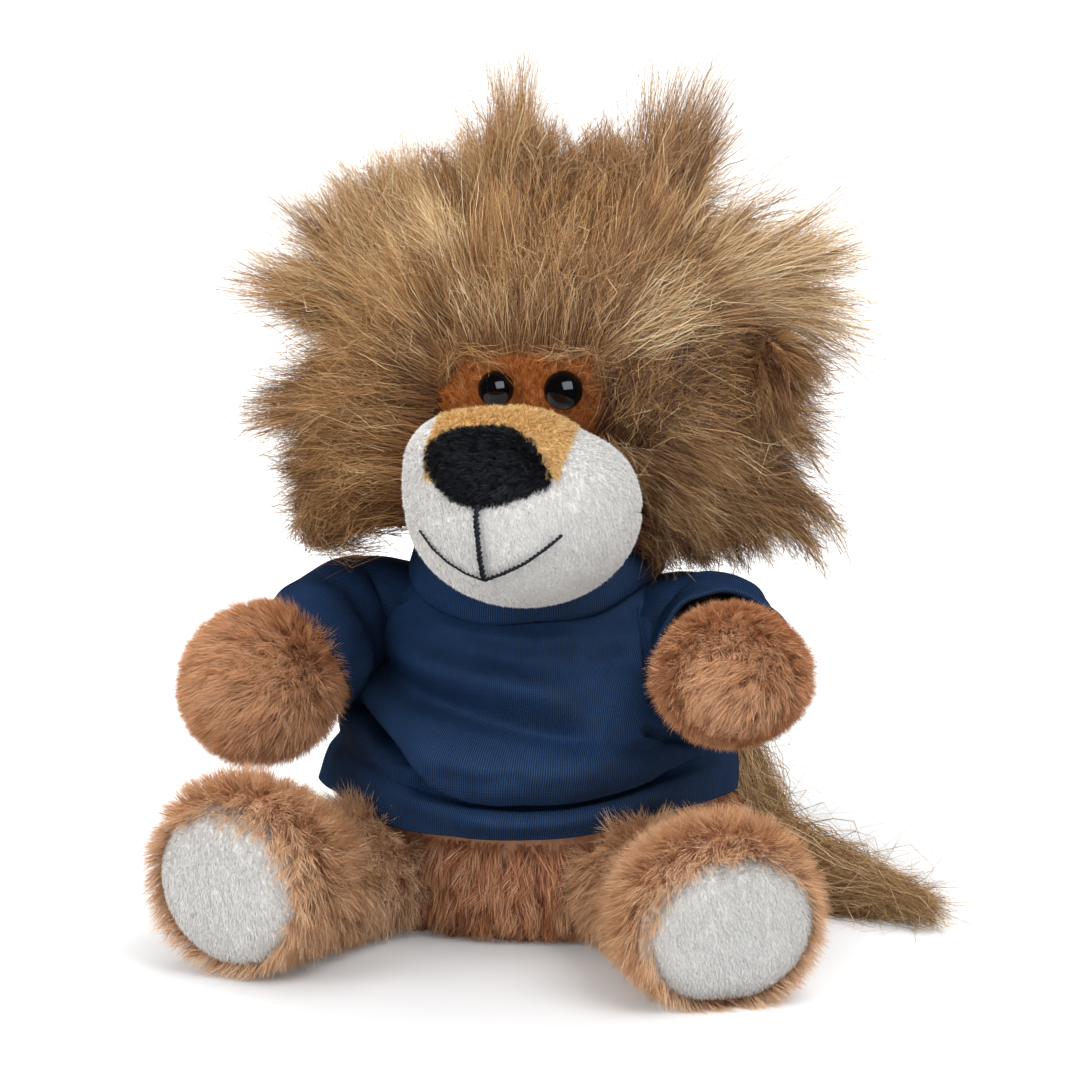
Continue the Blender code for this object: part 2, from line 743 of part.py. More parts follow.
def leg_frame(side, sign, far):
    """Across and up directions of a leg at a distance along it, as the foot rolls outwards."""
    axis = leg_axis(side, sign)
    across = axis.cross(Z_AXIS).normalized()
    roll = math.radians(FOOT_ROLL_DEG) * eased(far / LEG_LENGTH[side]) * sign
    spin = Matrix.Rotation(roll, 3, axis)
    return spin @ across, spin @ Z_AXIS


def leg_axis(side, sign):
    """The way a leg points, level with the ground."""
    out = math.radians(LEG_OUT_DEG[side])
    return Vector((sign * math.sin(out), -math.cos(out), 0))


def leg_ring(side, sign, far, inset):
    """One oval of a leg, which rests on the ground where the leg has settled."""
    width, height = between(LEG_SHARES, far / LEG_LENGTH[side])
    half_width, half_height = width * FOOT_HALF_WIDTH, height * FOOT_HALF_HEIGHT
    across, up = leg_frame(side, sign, far)
    resting = math.hypot(half_width * across.z, half_height * up.z) - FLAT_CUT
    settled = eased(far / LEG_LENGTH[side] / LEG_SETTLED_SHARE)
    middle = hip(sign) + leg_axis(side, sign) * far
    middle.z = HIP_Z + (resting - HIP_Z) * settled
    return oval(middle, across, up, half_width - inset, half_height - inset, LIMB_SIDES + 2), middle


def leg_rings(side, sign, inset):
    """Rings of a leg from its round root to the edge of the sole."""
    axis = leg_axis(side, sign)
    across, up = leg_frame(side, sign, 0)
    rings = [
        oval(hip(sign) + axis * far, across, up, r, r, LIMB_SIDES + 2)
        for far, r in round_root(LEG_ROOT_RADIUS, inset, 5)
    ]
    for share in LEG_RING_SHARES:
        rings.append(leg_ring(side, sign, LEG_LENGTH[side] * share, inset)[0])
    return rings, hip(sign) - axis * (LEG_ROOT_RADIUS - inset)


def build_leg(side, sign, leg, ground, looks):
    """A leg's bag, which is open at the sole, its filling and the sole that closes it."""
    axis = leg_axis(side, sign)
    outer, outer_start = leg_rings(side, sign, 0)
    inner, inner_start = leg_rings(side, sign, SKIN)
    skin = make("leg_skin_" + side, loft(outer + inner[::-1], outer_start, inner_start), leg,
                looks["fur_tan"])
    combine(skin, ground)
    rings, start = leg_rings(side, sign, SKIN + GAP)
    rim, middle = leg_ring(side, sign, LEG_LENGTH[side], 0)
    make("leg_stuffing_" + side, loft(rings, start, middle), leg, looks["fibre"])

    def dish(base, dome, shares):
        for share in shares:
            lift = base + dome * (1 - share**2)
            yield [middle + (p - middle) * share + axis * lift for p in rim]

    front = list(dish(GAP + SOLE_EDGE, SOLE_DOME, SOLE_FRONT_SHARES))
    back = list(dish(GAP, 0, SOLE_BACK_SHARES))
    ends = middle + axis * (GAP + SOLE_EDGE + SOLE_DOME), middle + axis * GAP
    sole = make("sole_" + side, loft(front + back, *ends), leg, looks["minky"])
    combine(sole, ground)


def hem_height(angle):
    """Height of the shirt's lower edge at an angle round the torso, lifted by the thighs."""
    forward = max(-math.sin(angle), 0.0)
    backward = max(math.sin(angle), 0.0)
    thigh = math.exp(-((forward - HEM_THIGH_SHARE) / HEM_THIGH_WIDTH_SHARE) ** 2)
    drop = (HEM_SIDE_Z - HEM_FRONT_Z) * eased((forward - HEM_DIP_SHARE) / (1 - HEM_DIP_SHARE))
    lift = (HEM_BACK_Z - HEM_SIDE_Z) * backward
    return HEM_SIDE_Z - drop + lift + HEM_THIGH_RISE * thigh


def shirt_point(angle, share, inset):
    """A point of the shirt at an angle and at a share of its height."""
    z = hem_height(angle) + (SHIRT_TOP_Z - hem_height(angle)) * share
    half_width, half_depth = torso_halves(z)
    side, front = between(SHIRT_SLACK_SHARES, share)
    facing = abs(math.sin(angle))
    slack = SHIRT_SLACK * (side + (front - side) * facing) + GAP + KNIT - inset
    return Vector(
        ((half_width + slack) * math.cos(angle), (half_depth + slack) * math.sin(angle), z)
    )


def build_shirt(torso, looks, sockets):
    """Front and back of the shirt, which meet at the side seams, and the collar."""
    seam = GAP / TORSO_HALF_WIDTH
    halves = (("front", math.pi + seam, 2 * math.pi - seam), ("back", seam, math.pi - seam))
    for name, start, end in halves:
        angles = steps(start, end, BODY_SIDES // 2 + 3)
        outer, inner = (
            [[shirt_point(angle, share, inset) for angle in angles] for share in SHIRT_RING_SHARES]
            for inset in (0, KNIT)
        )
        panel = make("shirt_" + name, sheet(outer, inner), torso, looks["knit"])
        for side, _ in SIDES:
            combine(panel, sockets["arm_" + side])
        if name == "front":
            combine(panel, sockets["leg_left"])
            combine(panel, sockets["leg_right"])
    half_width, half_depth = torso_halves(SHIRT_TOP_Z)
    side, front = SHIRT_SLACK_SHARES[-1][1:]
    wide = half_width + SHIRT_SLACK * side + GAP + KNIT
    deep = half_depth + SHIRT_SLACK * front + GAP + KNIT

    def loops(inset):
        for share in COLLAR_RING_SHARES:
            lean = COLLAR_LEAN * share**COLLAR_LEAN_POWER + inset
            z = SHIRT_TOP_Z + GAP + COLLAR_HEIGHT * share
            yield oval(Z_AXIS * z, X_AXIS, Y_AXIS, wide - lean, deep - lean, BODY_SIDES)

    collar = make(
        "shirt_collar", closed_band(list(loops(0)), list(loops(COLLAR_THICKNESS))), torso,
        looks["knit"]
    )
    for side, _ in SIDES:
        combine(collar, sockets["arm_" + side])


def tail_place(share):
    """A point on the tail's route."""
    out, back, rise = between(TAIL_ROUTE_SHARES, share)
    return TAIL_ROOT + Vector((out * TAIL_REACH, back * TAIL_DEPTH, rise * TAIL_DROP))


def tail_rings(start, end, count, radius_at):
    """Rings across the tail's route between two shares of it."""
    rings = []
    for share in steps(start, end, count):
        ahead = tail_place(min(share + TAIL_STEP_SHARE, 1.0))
        behind = tail_place(max(share - TAIL_STEP_SHARE, 0.0))
        along = (ahead - behind).normalized()
        across = along.cross(Z_AXIS).normalized()
        radius = radius_at((share - start) / (end - start))
        rings.append(
            oval(tail_place(share), across, across.cross(along), radius, radius, SMALL_SIDES)
        )
    return rings


def build_tail(tail, ground, looks):
    """The plush stem at the seat and the long brush of hair that it carries."""
    begin = (tail_place(TAIL_STEP_SHARE) - TAIL_ROOT).normalized()
    across = begin.cross(Z_AXIS).normalized()
    up = across.cross(begin)
    rings = [
        oval(TAIL_ROOT + begin * far, across, up, r, r, SMALL_SIDES)
        for far, r in round_root(TAIL_ROOT_RADIUS, 0, 4)
    ]
    rings += tail_rings(0, TAIL_STEM_SHARE, 5, lambda share: TAIL_ROOT_RADIUS)[1:]
    shape = loft(rings, TAIL_ROOT - begin * TAIL_ROOT_RADIUS, tail_place(TAIL_STEM_SHARE))
    make("tail_stem", shape, tail, looks["fur_tan"])
    start = TAIL_STEM_SHARE + TAIL_SEAM / TAIL_REACH
    rings = tail_rings(
        start, 1.0, 11, lambda share: TAIL_BRUSH_RADIUS * between(TAIL_BRUSH_SHARES, share)[0]
    )
    brush = make("tail_brush", loft(rings, tail_place(start), tail_place(1.0)), tail,
                 looks["fur_brown"])
    combine(brush, ground)


def grown(halves, amount):
    """Half sizes of a round solid, grown all round."""
    return tuple(half + amount for half in halves)


def head_point(lift_deg, side_deg, offset):
    """A point of the head at an angle up and to the left from straight ahead."""
    side, lift = math.radians(side_deg), math.radians(lift_deg)
    wide, deep, high = grown(HEAD_HALVES, offset)
    return HEAD_PLACE + Vector(
        (wide * math.cos(lift) * math.sin(side), -deep * math.cos(lift) * math.cos(side),
         high * math.sin(lift))
    )


def muzzle_point(round_deg, side_deg, offset):
    """A point of the muzzle: an angle up and over it, and an angle to the left."""
    over, side = math.radians(round_deg), math.radians(side_deg)
    wide, deep, high = grown(MUZZLE_HALVES, offset)
    return MUZZLE_PLACE + Vector(
        (wide * math.sin(side), -deep * math.cos(side) * math.cos(over),
         high * math.cos(side) * math.sin(over))
    )


def patch(point, rows, columns, inner, outer):
    """A closed sheet on a surface, between two offsets."""
    grids = [[[point(a, b, offset) for b in columns] for a in rows] for offset in (outer, inner)]
    return sheet(*grids)


def face_spots():
    """Place and outward direction of each eye on the face panel, by side."""
    spots = {}
    for side, sign in SIDES:
        side_deg = math.degrees(math.asin(sign * EYE_SPACING / 2 / HEAD_HALF_WIDTH))
        lift_deg = math.degrees(math.asin(EYE_LIFT / HEAD_HALF_HEIGHT))
        skin = head_point(lift_deg, side_deg, GAP + SHORT_PLUSH)
        outward = Vector([(skin - HEAD_PLACE)[k] / HEAD_HALVES[k] ** 2 for k in range(3)])
        spots[side] = (skin, outward.normalized())
    return spots


def build_eyes(head, looks, filling, panel):
    """Domed eyes with shanks through the face panel, and the washers behind it."""
    for side, (skin, outward) in face_spots().items():
        dome = [(GAP + EYE_RIM + EYE_HEIGHT * math.sin(a), EYE_RADIUS * math.cos(a))
                for a in steps(0, math.radians(EYE_DOME_DEG), 5)]
        profile = [(-SHANK_LENGTH, SHANK_RADIUS), (GAP, SHANK_RADIUS), (GAP, EYE_RADIUS)] + dome
        make("eye_" + side, lathe(skin, outward, profile, LIMB_SIDES), head, looks["eye"])
        hole = lathe(skin, outward, ((-SHORT_PLUSH - OVERRUN, SHANK_RADIUS + GAP),
                                     (OVERRUN, SHANK_RADIUS + GAP)), SMALL_SIDES)
        combine(panel, guide("eye_hole_" + side, hole, head))
        back = -SHORT_PLUSH - GAP - WASHER_SETBACK
        ring = [
            [oval(skin + outward * far, *side_frame(outward), radius, radius, LIMB_SIDES)
             for far in (back, back - WASHER_THICKNESS)]
            for radius in (WASHER_RADIUS, SHANK_RADIUS + GAP)
        ]
        make("eye_washer_" + side, closed_band(*ring), head, looks["washer"])
        floor = back - WASHER_THICKNESS - GAP
        room = ((-SHANK_LENGTH - GAP, SHANK_RADIUS + GAP), (floor, SHANK_RADIUS + GAP),
                (floor, WASHER_RADIUS + GAP), (OVERRUN, WASHER_RADIUS + GAP))
        combine(filling, guide("eye_room_" + side, lathe(skin, outward, room, SMALL_SIDES), head))


def side_frame(axis):
    """Two directions square to an axis."""
    across = axis.orthogonal().normalized()
    return across, axis.cross(across)


def build_head_core(head, looks):
    """The head's filling with its snout, hollowed for the ball of the neck."""
    shape = ellipsoid(HEAD_PLACE, HEAD_HALVES, HEAD_SIDES, HEAD_RINGS)
    filling = make("head_stuffing", shape, head, looks["fibre"])
    snout = ellipsoid(MUZZLE_PLACE, grown(MUZZLE_HALVES, -SHORT_PLUSH - GAP), HEAD_SIDES,
                      HEAD_RINGS, 1)
    combine(filling, guide("snout_filling", snout, head), "UNION")
    middle = NECK_FOOT + Z_AXIS * NECK_BALL_Z
    room = guide("neck_ball_room", ball(middle, NECK_BALL_RADIUS + TURNING_GAP, axis=2), head)
    combine(filling, room)
    return filling


def build_face(head, looks):
    """The short orange plush between the mane and the muzzle."""
    shape = patch(head_point, steps(FACE_BOTTOM_DEG, FACE_TOP_DEG, 6),
                  steps(FACE_RIGHT_DEG, FACE_LEFT_DEG, 10), GAP, GAP + SHORT_PLUSH)
    panel = make("face_panel", shape, head, looks["orange"])
    room = grown(MUZZLE_HALVES, GAP + FACET_ROOM)
    grow = guide("muzzle_room", ellipsoid(MUZZLE_PLACE, room, HEAD_SIDES, HEAD_RINGS, 1), head)
    combine(panel, grow)
    return panel, grow


def build_muzzle(head, looks):
    """The white snout, the ochre strip over it, the nose and the stitched mouth."""
    def loops(offset):
        wide, deep, high = grown(MUZZLE_HALVES, offset)
        for angle in steps(0, math.radians(MUZZLE_WRAP_DEG), 9)[1:]:
            middle = MUZZLE_PLACE - Y_AXIS * (deep * math.cos(angle))
            yield oval(middle, X_AXIS, Z_AXIS, wide * math.sin(angle), high * math.sin(angle),
                       HEAD_SIDES)

    tips = [MUZZLE_PLACE - Y_AXIS * (MUZZLE_HALF_DEPTH - inset) for inset in (0, SHORT_PLUSH)]
    skin = make("muzzle_skin", loft(list(loops(0)) + list(loops(-SHORT_PLUSH))[::-1], *tips), head,
                looks["minky"])
    core = guide("head_room", ellipsoid(HEAD_PLACE, grown(HEAD_HALVES, GAP), HEAD_SIDES,
                                        HEAD_RINGS), head)
    combine(skin, core)
    rows = steps(BRIDGE_FROM_DEG, BRIDGE_TO_DEG, 9)
    columns = steps(MUZZLE_TURN_DEG - BRIDGE_HALF_DEG, MUZZLE_TURN_DEG + BRIDGE_HALF_DEG, 9)
    bridge = make("muzzle_bridge", patch(muzzle_point, rows, columns, -SHORT_PLUSH, 0), head,
                  looks["ochre"])
    combine(bridge, core)
    rows = steps(BRIDGE_FROM_DEG - SEAM_DEG, BRIDGE_TO_DEG + SEAM_DEG, 9)
    columns = steps(columns[0] - SEAM_DEG, columns[-1] + SEAM_DEG, 9)
    combine(skin, guide("bridge_room", patch(muzzle_point, rows, columns, -SHORT_PLUSH - OVERRUN,
                                             OVERRUN), head))
    build_nose(head, looks)
    build_mouth(head, looks)


def build_nose(head, looks):
    """The padded oval nose, which lies on the snout."""
    tilt = math.radians(NOSE_TILT_DEG)

    def loops(shares, crown):
        for share in shares:
            loop = []
            for k in range(LIMB_SIDES + 4):
                a = turn(LIMB_SIDES + 4, k)
                out, up = NOSE_HALF_WIDTH * math.cos(a), NOSE_HALF_HEIGHT * math.sin(a)
                across = (out * math.cos(tilt) + up * math.sin(tilt)) * share
                lift = (up * math.cos(tilt) - out * math.sin(tilt)) * share
                height = GAP + crown * (
                    NOSE_EDGE_SHARE + (1 - NOSE_EDGE_SHARE) * math.sqrt(1 - share**2)
                )
                loop.append(
                    muzzle_point(NOSE_LIFT_DEG + math.degrees(lift / MUZZLE_HALF_HEIGHT),
                                 MUZZLE_TURN_DEG + math.degrees(across / MUZZLE_HALF_WIDTH), height)
                )
            yield loop

    front = list(loops(NOSE_FRONT_SHARES, NOSE_THICKNESS))
    back = list(loops(NOSE_BACK_SHARES, 0))
    tips = [
        muzzle_point(NOSE_LIFT_DEG, MUZZLE_TURN_DEG, GAP + thick) for thick in (NOSE_THICKNESS, 0)
    ]
    make("nose", loft(front + back, *tips), head, looks["pile"])


def thread(places, radius):
    """A round thread along a list of places."""
    rings = []
    for k, place in enumerate(places):
        along = (places[min(k + 1, len(places) - 1)] - places[max(k - 1, 0)]).normalized()
        away = (place - MUZZLE_PLACE).normalized()
        across = along.cross(away).normalized()
        rings.append(oval(place, across, across.cross(along), radius, radius, THREAD_SIDES))
    return loft(rings, places[0], places[-1])


def build_mouth(head, looks):
    """The stitched line under the nose, joined to the smile."""
    height = GAP + THREAD_RADIUS
    line = [
        muzzle_point(lift, MUZZLE_TURN_DEG, height)
        for lift in steps(MOUTH_TOP_DEG, MOUTH_BOTTOM_DEG, 8)
    ]
    smile = []
    for share in steps(-1, 1, 17):
        lift = MOUTH_BOTTOM_DEG + (SMILE_END_DEG - MOUTH_BOTTOM_DEG) * abs(share) ** SMILE_POWER
        smile.append(muzzle_point(lift, MUZZLE_TURN_DEG + SMILE_HALF_DEG * share, height))
    mouth = make("mouth_stitching", thread(smile, THREAD_RADIUS), head, looks["thread"])
    combine(mouth, guide("mouth_line", thread(line, THREAD_RADIUS), head), "UNION")


def build_ears(head, looks):
    """Small stuffed ears at the sides of the head, and the rooms that they fill."""
    rooms = []
    core = guide("ear_seat", ellipsoid(HEAD_PLACE, grown(HEAD_HALVES, GAP), HEAD_SIDES,
                                       HEAD_RINGS), head)
    for side, sign in SIDES:
        place = HEAD_PLACE + Vector((sign * EAR_OUT, EAR_BACK, EAR_LIFT))
        halves = (EAR_HALF_WIDTH, EAR_HALF_THICKNESS, EAR_HALF_HEIGHT)
        ear = make("ear_" + side, ellipsoid(place, halves, SMALL_SIDES, 8, 1), head,
                   looks["fur_tan"])
        combine(ear, core)
        rooms.append(guide("ear_room_" + side,
                           ellipsoid(place, grown(halves, GAP), SMALL_SIDES, 8, 1), head))
    return rooms


def mane_reach(way):
    """How far the mane reaches from its middle, in one direction."""
    halves = (MANE_HALF_WIDTH, MANE_FRONT if way.y < 0 else MANE_BACK,
              MANE_UP if way.z > 0 else MANE_DOWN)
    reach = 1 / math.sqrt(sum((way[k] / halves[k]) ** 2 for k in range(3)))
    for x, y, z, length, width in TUFT_SHARES:
        near = way.dot(Vector((x, y, z)).normalized()) - 1
        reach += MANE_TUFT * length * math.exp(width * near)
    return reach


def build_mane(head, looks, muzzle_room, ear_rooms):
    """The mane as one mass of hair with its tufts, open at the face and at the neck."""
    middle = HEAD_PLACE + X_AXIS * MANE_SHIFT_X
    rings = []
    for r in range(1, MANE_RINGS):
        tilt = math.pi * r / MANE_RINGS
        ring = []
        for k in range(MANE_SIDES):
            angle = turn(MANE_SIDES, k)
            way = Vector((math.sin(tilt) * math.cos(angle), math.sin(tilt) * math.sin(angle),
                          -math.cos(tilt)))
            ring.append(middle + way * mane_reach(way))
        rings.append(ring)
    ends = [middle + way * mane_reach(way) for way in (-Z_AXIS, Z_AXIS)]
    mane = make("mane", loft(rings, *ends), head, looks["fur_brown"])
    x, z = HEAD_X + FACE_WINDOW_SHIFT_X, HEAD_Z - FACE_WINDOW_DROP
    ends = [Vector((x, y, z)) for y in (HEAD_Y - HEAD_HALF_DEPTH - MANE_TUFT, HEAD_Y)]
    window = [
        oval(end, X_AXIS, Z_AXIS, FACE_WINDOW_HALF_WIDTH, FACE_WINDOW_HALF_HEIGHT, HEAD_SIDES)
        for end in ends
    ]
    combine(mane, guide("face_window", loft(window, *ends), head))
    seat = ellipsoid(HEAD_PLACE, grown(HEAD_HALVES, GAP), HEAD_SIDES, HEAD_RINGS)
    combine(mane, guide("mane_seat", seat, head))
    combine(mane, muzzle_room)
    panel = patch(head_point, steps(FACE_BOTTOM_DEG - SEAM_DEG, FACE_TOP_DEG + SEAM_DEG, 6),
                  steps(FACE_RIGHT_DEG - SEAM_DEG, FACE_LEFT_DEG + SEAM_DEG, 10), -OVERRUN,
                  GAP + SHORT_PLUSH + GAP)
    combine(mane, guide("face_panel_room", panel, head))
    collar_top = SHIRT_TOP_Z + GAP + COLLAR_HEIGHT + MANE_COLLAR_ROOM
    profile = (
        (NECK_BASE_Z, MANE_COLLAR_RADIUS),
        (collar_top, MANE_COLLAR_RADIUS),
        (collar_top, MANE_NECK_RADIUS),
        (HEAD_Z - HEAD_HALF_HEIGHT / 2, MANE_NECK_RADIUS),
    )
    combine(mane, guide("mane_neck_opening", lathe(NECK_FOOT, Z_AXIS, profile, HEAD_SIDES), head))
    for room in ear_rooms:
        combine(mane, room)


def main():
    """Build every piece on the empty of its body."""
    clear_scene()
    looks = {
        "fur_tan": finish("fur_tan", FUR_TAN, 0.9),
        "fur_brown": finish("fur_brown", FUR_BROWN, 0.85),
        "orange": finish("plush_orange", PLUSH_ORANGE, 0.9),
        "ochre": finish("plush_ochre", PLUSH_OCHRE, 0.9),
        "minky": finish("minky_white", MINKY_WHITE, 0.95),
        "pile": finish("pile_black", PILE_BLACK, 0.9),
        "thread": finish("thread_black", PILE_BLACK, 0.7),
        "knit": finish("knit_navy", KNIT_NAVY, 0.85),
        "fibre": finish("fibre_white", FIBRE_WHITE, 1.0),
        "pouch": finish("pouch_cloth", CLOTH_GREY, 0.9),
        "eye": finish("eye_black", PILE_BLACK, 0.08),
        "washer": finish("washer_plastic", PLASTIC_CLEAR, 0.4),
    }
    torso = pivot("torso_body", (0, 0, 0))
    depth = 4 * OVERRUN
    wide = max(LEG_LENGTH.values()) + TAIL_REACH + HIP_X
    ground_shape = lathe(Vector(), Z_AXIS, ((-depth, wide), (0, wide)), SMALL_SIDES)
    ground = guide("ground", ground_shape, torso)
    sockets = build_sockets(torso)
    build_torso(torso, looks, sockets)
    build_shirt(torso, looks, sockets)
    for side, sign in SIDES:
        arm = pivot("arm_" + side, shoulder(sign), torso)
        build_arm(side, sign, arm, looks)
        build_sleeve(side, sign, arm, looks)
        leg = pivot("leg_" + side, hip(sign), torso)
        build_leg(side, sign, leg, ground, looks)
    tail = pivot("tail", TAIL_ROOT, torso)
    build_tail(tail, ground, looks)
    neck = pivot("neck", NECK_FOOT + Z_AXIS * NECK_BALL_Z, torso)
    build_neck(neck, looks)
    head = pivot("head", NECK_FOOT + Z_AXIS * NECK_BALL_Z, neck)
    filling = build_head_core(head, looks)
    panel, muzzle_room = build_face(head, looks)
    build_eyes(head, looks, filling, panel)
    build_muzzle(head, looks)
    rooms = build_ears(head, looks)
    build_mane(head, looks, muzzle_room, rooms)


main()
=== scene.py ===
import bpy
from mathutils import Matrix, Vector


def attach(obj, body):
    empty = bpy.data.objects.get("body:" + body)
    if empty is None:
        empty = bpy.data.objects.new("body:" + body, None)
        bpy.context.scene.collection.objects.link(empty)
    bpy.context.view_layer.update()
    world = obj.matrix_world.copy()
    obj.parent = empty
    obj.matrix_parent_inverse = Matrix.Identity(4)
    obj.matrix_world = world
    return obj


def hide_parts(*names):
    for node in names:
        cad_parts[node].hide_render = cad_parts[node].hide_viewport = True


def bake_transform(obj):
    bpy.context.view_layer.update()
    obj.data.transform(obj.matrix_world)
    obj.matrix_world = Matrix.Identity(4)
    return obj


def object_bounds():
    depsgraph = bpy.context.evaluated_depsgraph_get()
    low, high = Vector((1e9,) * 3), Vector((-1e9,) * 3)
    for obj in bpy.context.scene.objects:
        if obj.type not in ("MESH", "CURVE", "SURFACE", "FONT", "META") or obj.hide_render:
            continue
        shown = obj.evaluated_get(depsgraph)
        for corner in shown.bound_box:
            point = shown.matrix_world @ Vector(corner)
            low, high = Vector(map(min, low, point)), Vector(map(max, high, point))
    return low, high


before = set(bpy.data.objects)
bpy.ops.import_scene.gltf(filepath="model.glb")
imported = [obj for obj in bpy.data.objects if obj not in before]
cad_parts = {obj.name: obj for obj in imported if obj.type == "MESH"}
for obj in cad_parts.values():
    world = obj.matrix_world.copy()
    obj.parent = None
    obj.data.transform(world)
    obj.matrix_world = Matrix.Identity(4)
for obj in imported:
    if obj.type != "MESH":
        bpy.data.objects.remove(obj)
CAD_BOX = [list(corner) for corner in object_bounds()]

import math

import bpy
import numpy as np
from mathutils import Matrix, Vector, bvhtree, kdtree

MM = 0.001

# Camera: the angle and the place of the object in the picture
AZIMUTH_DEG = 15.0
ELEVATION_DEG = 11.0
DISTANCE = 2.2
PIXEL = 0.21 * MM
PICTURE_SIDE = 1080
ORIGIN_ACROSS = 539.0
ORIGIN_DOWN = 909.0
AIM = np.array((0.0, -0.010, 0.080))
SENSOR = 36.0

az, el = math.radians(AZIMUTH_DEG), math.radians(ELEVATION_DEG)
LOOK = np.array((-math.sin(az) * math.cos(el), math.cos(az) * math.cos(el), -math.sin(el)))
RIGHT = np.array((math.cos(az), math.sin(az), 0.0))
UP = np.cross(RIGHT, LOOK)
STAND = AIM - LOOK * DISTANCE
ORIGIN_DEPTH = DISTANCE - AIM @ LOOK
AIM_ACROSS = ORIGIN_ACROSS + (AIM @ RIGHT) / PIXEL * DISTANCE / ORIGIN_DEPTH
AIM_DOWN = ORIGIN_DOWN - (AIM @ UP) / PIXEL * DISTANCE / ORIGIN_DEPTH


scene = bpy.context.scene
camera = bpy.data.objects.new("camera", bpy.data.cameras.new("camera"))
scene.collection.objects.link(camera)
turned_frame = Matrix((RIGHT, UP, -LOOK)).transposed().to_4x4()
camera.matrix_world = Matrix.Translation(Vector(STAND)) @ turned_frame
camera.data.sensor_width = SENSOR
camera.data.lens = SENSOR * DISTANCE / (PIXEL * PICTURE_SIDE)
camera.data.shift_x = (PICTURE_SIDE / 2 - AIM_ACROSS) / PICTURE_SIDE
camera.data.shift_y = (AIM_DOWN - PICTURE_SIDE / 2) / PICTURE_SIDE
camera.data.clip_end = 30
scene.camera = camera
scene.view_settings.view_transform = "Standard"


def seen(points):
    """Where points lie in the picture, in its pixels."""
    away = points - STAND
    depth = away @ LOOK
    across = AIM_ACROSS + (away @ RIGHT) / PIXEL * DISTANCE / depth
    down = AIM_DOWN - (away @ UP) / PIXEL * DISTANCE / depth
    return across, down


def placed(across, down, back):
    """Points at places in the picture, at a distance behind the aim point."""
    across, down, back = np.broadcast_arrays(across, down, back)
    depth = DISTANCE + back
    scale = PIXEL * depth / DISTANCE
    return (
        STAND
        + depth[..., None] * LOOK
        + ((across - AIM_ACROSS) * scale)[..., None] * RIGHT
        + ((AIM_DOWN - down) * scale)[..., None] * UP
    )


def unit(vectors):
    """Vectors of length one."""
    return vectors / np.maximum(np.linalg.norm(vectors, axis=-1, keepdims=True), 1e-12)


def eased(share):
    """0 to 1 with a soft start and end."""
    t = np.clip(share, 0.0, 1.0)
    return t * t * (3 - 2 * t)


def between(table, share):
    """The other columns of a table at a share of its first, on a smooth curve."""
    last = len(table) - 1
    index = min(max(sum(row[0] <= share for row in table) - 1, 0), last - 1)
    before, low, high, after = (
        table[min(max(index + step, 0), last)] for step in (-1, 0, 1, 2)
    )
    span = high[0] - low[0]
    t = (share - low[0]) / span
    values = []
    for a, b, c, d in zip(before[1:], low[1:], high[1:], after[1:]):
        slope_b = (c - a) / (high[0] - before[0]) * span
        slope_c = (d - b) / (after[0] - low[0]) * span
        values.append(
            (2 * t**3 - 3 * t**2 + 1) * b
            + (t**3 - 2 * t**2 + t) * slope_b
            + (3 * t**2 - 2 * t**3) * c
            + (t**3 - t**2) * slope_c
        )
    return values


# Colours and materials


def linear(colour):
    """A screen colour, 0 to 255, as linear values."""
    shares = [channel / 255 for channel in colour]
    return [s / 12.92 if s <= 0.04045 else ((s + 0.055) / 1.055) ** 2.4 for s in shares]


def blank(name, roughness, specular=0.5, sheen=0.0):
    """A Principled material with its constants set."""
    material = bpy.data.materials.new(name)
    material.use_nodes = True
    shader = material.node_tree.nodes["Principled BSDF"]
    shader.inputs["Roughness"].default_value = roughness
    shader.inputs["Specular IOR Level"].default_value = specular
    shader.inputs["Sheen Weight"].default_value = sheen
    return material, shader, material.node_tree.nodes, material.node_tree.links


def ramp_node(nodes, stops):
    """A colour ramp from (place, colour) stops."""
    ramp = nodes.new("ShaderNodeValToRGB")
    line = ramp.color_ramp
    line.elements[0].position, line.elements[1].position = stops[0][0], stops[-1][0]
    line.elements[0].color = (*linear(stops[0][1]), 1)
    line.elements[1].color = (*linear(stops[-1][1]), 1)
    for place, colour in stops[1:-1]:
        element = line.elements.new(place)
        element.color = (*linear(colour), 1)
    return ramp


def fur_material(name, tones, root, roughness=0.55, specular=0.35):
    """Hair: its tone runs across the map, and its root to tip along the map."""
    material, shader, nodes, links = blank(name, roughness, specular)
    place = nodes.new("ShaderNodeUVMap")
    place.uv_map = "OFBake"
    parts = nodes.new("ShaderNodeSeparateXYZ")
    links.new(place.outputs["UV"], parts.inputs["Vector"])
    count = len(tones) - 1
    tone = ramp_node(nodes, [(k / count, c) for k, c in enumerate(tones)])
    links.new(parts.outputs["X"], tone.inputs["Fac"])
    shade = ramp_node(nodes, [(0.0, root), (0.45, (225, 225, 225)), (1.0, (255, 255, 255))])
    links.new(parts.outputs["Y"], shade.inputs["Fac"])
    mix = nodes.new("ShaderNodeMix")
    mix.data_type = "RGBA"
    mix.blend_type = "MULTIPLY"
    mix.inputs[0].default_value = 1.0
    links.new(tone.outputs["Color"], mix.inputs[6])
    links.new(shade.outputs["Color"], mix.inputs[7])
    links.new(mix.outputs[2], shader.inputs["Base Color"])
    return material


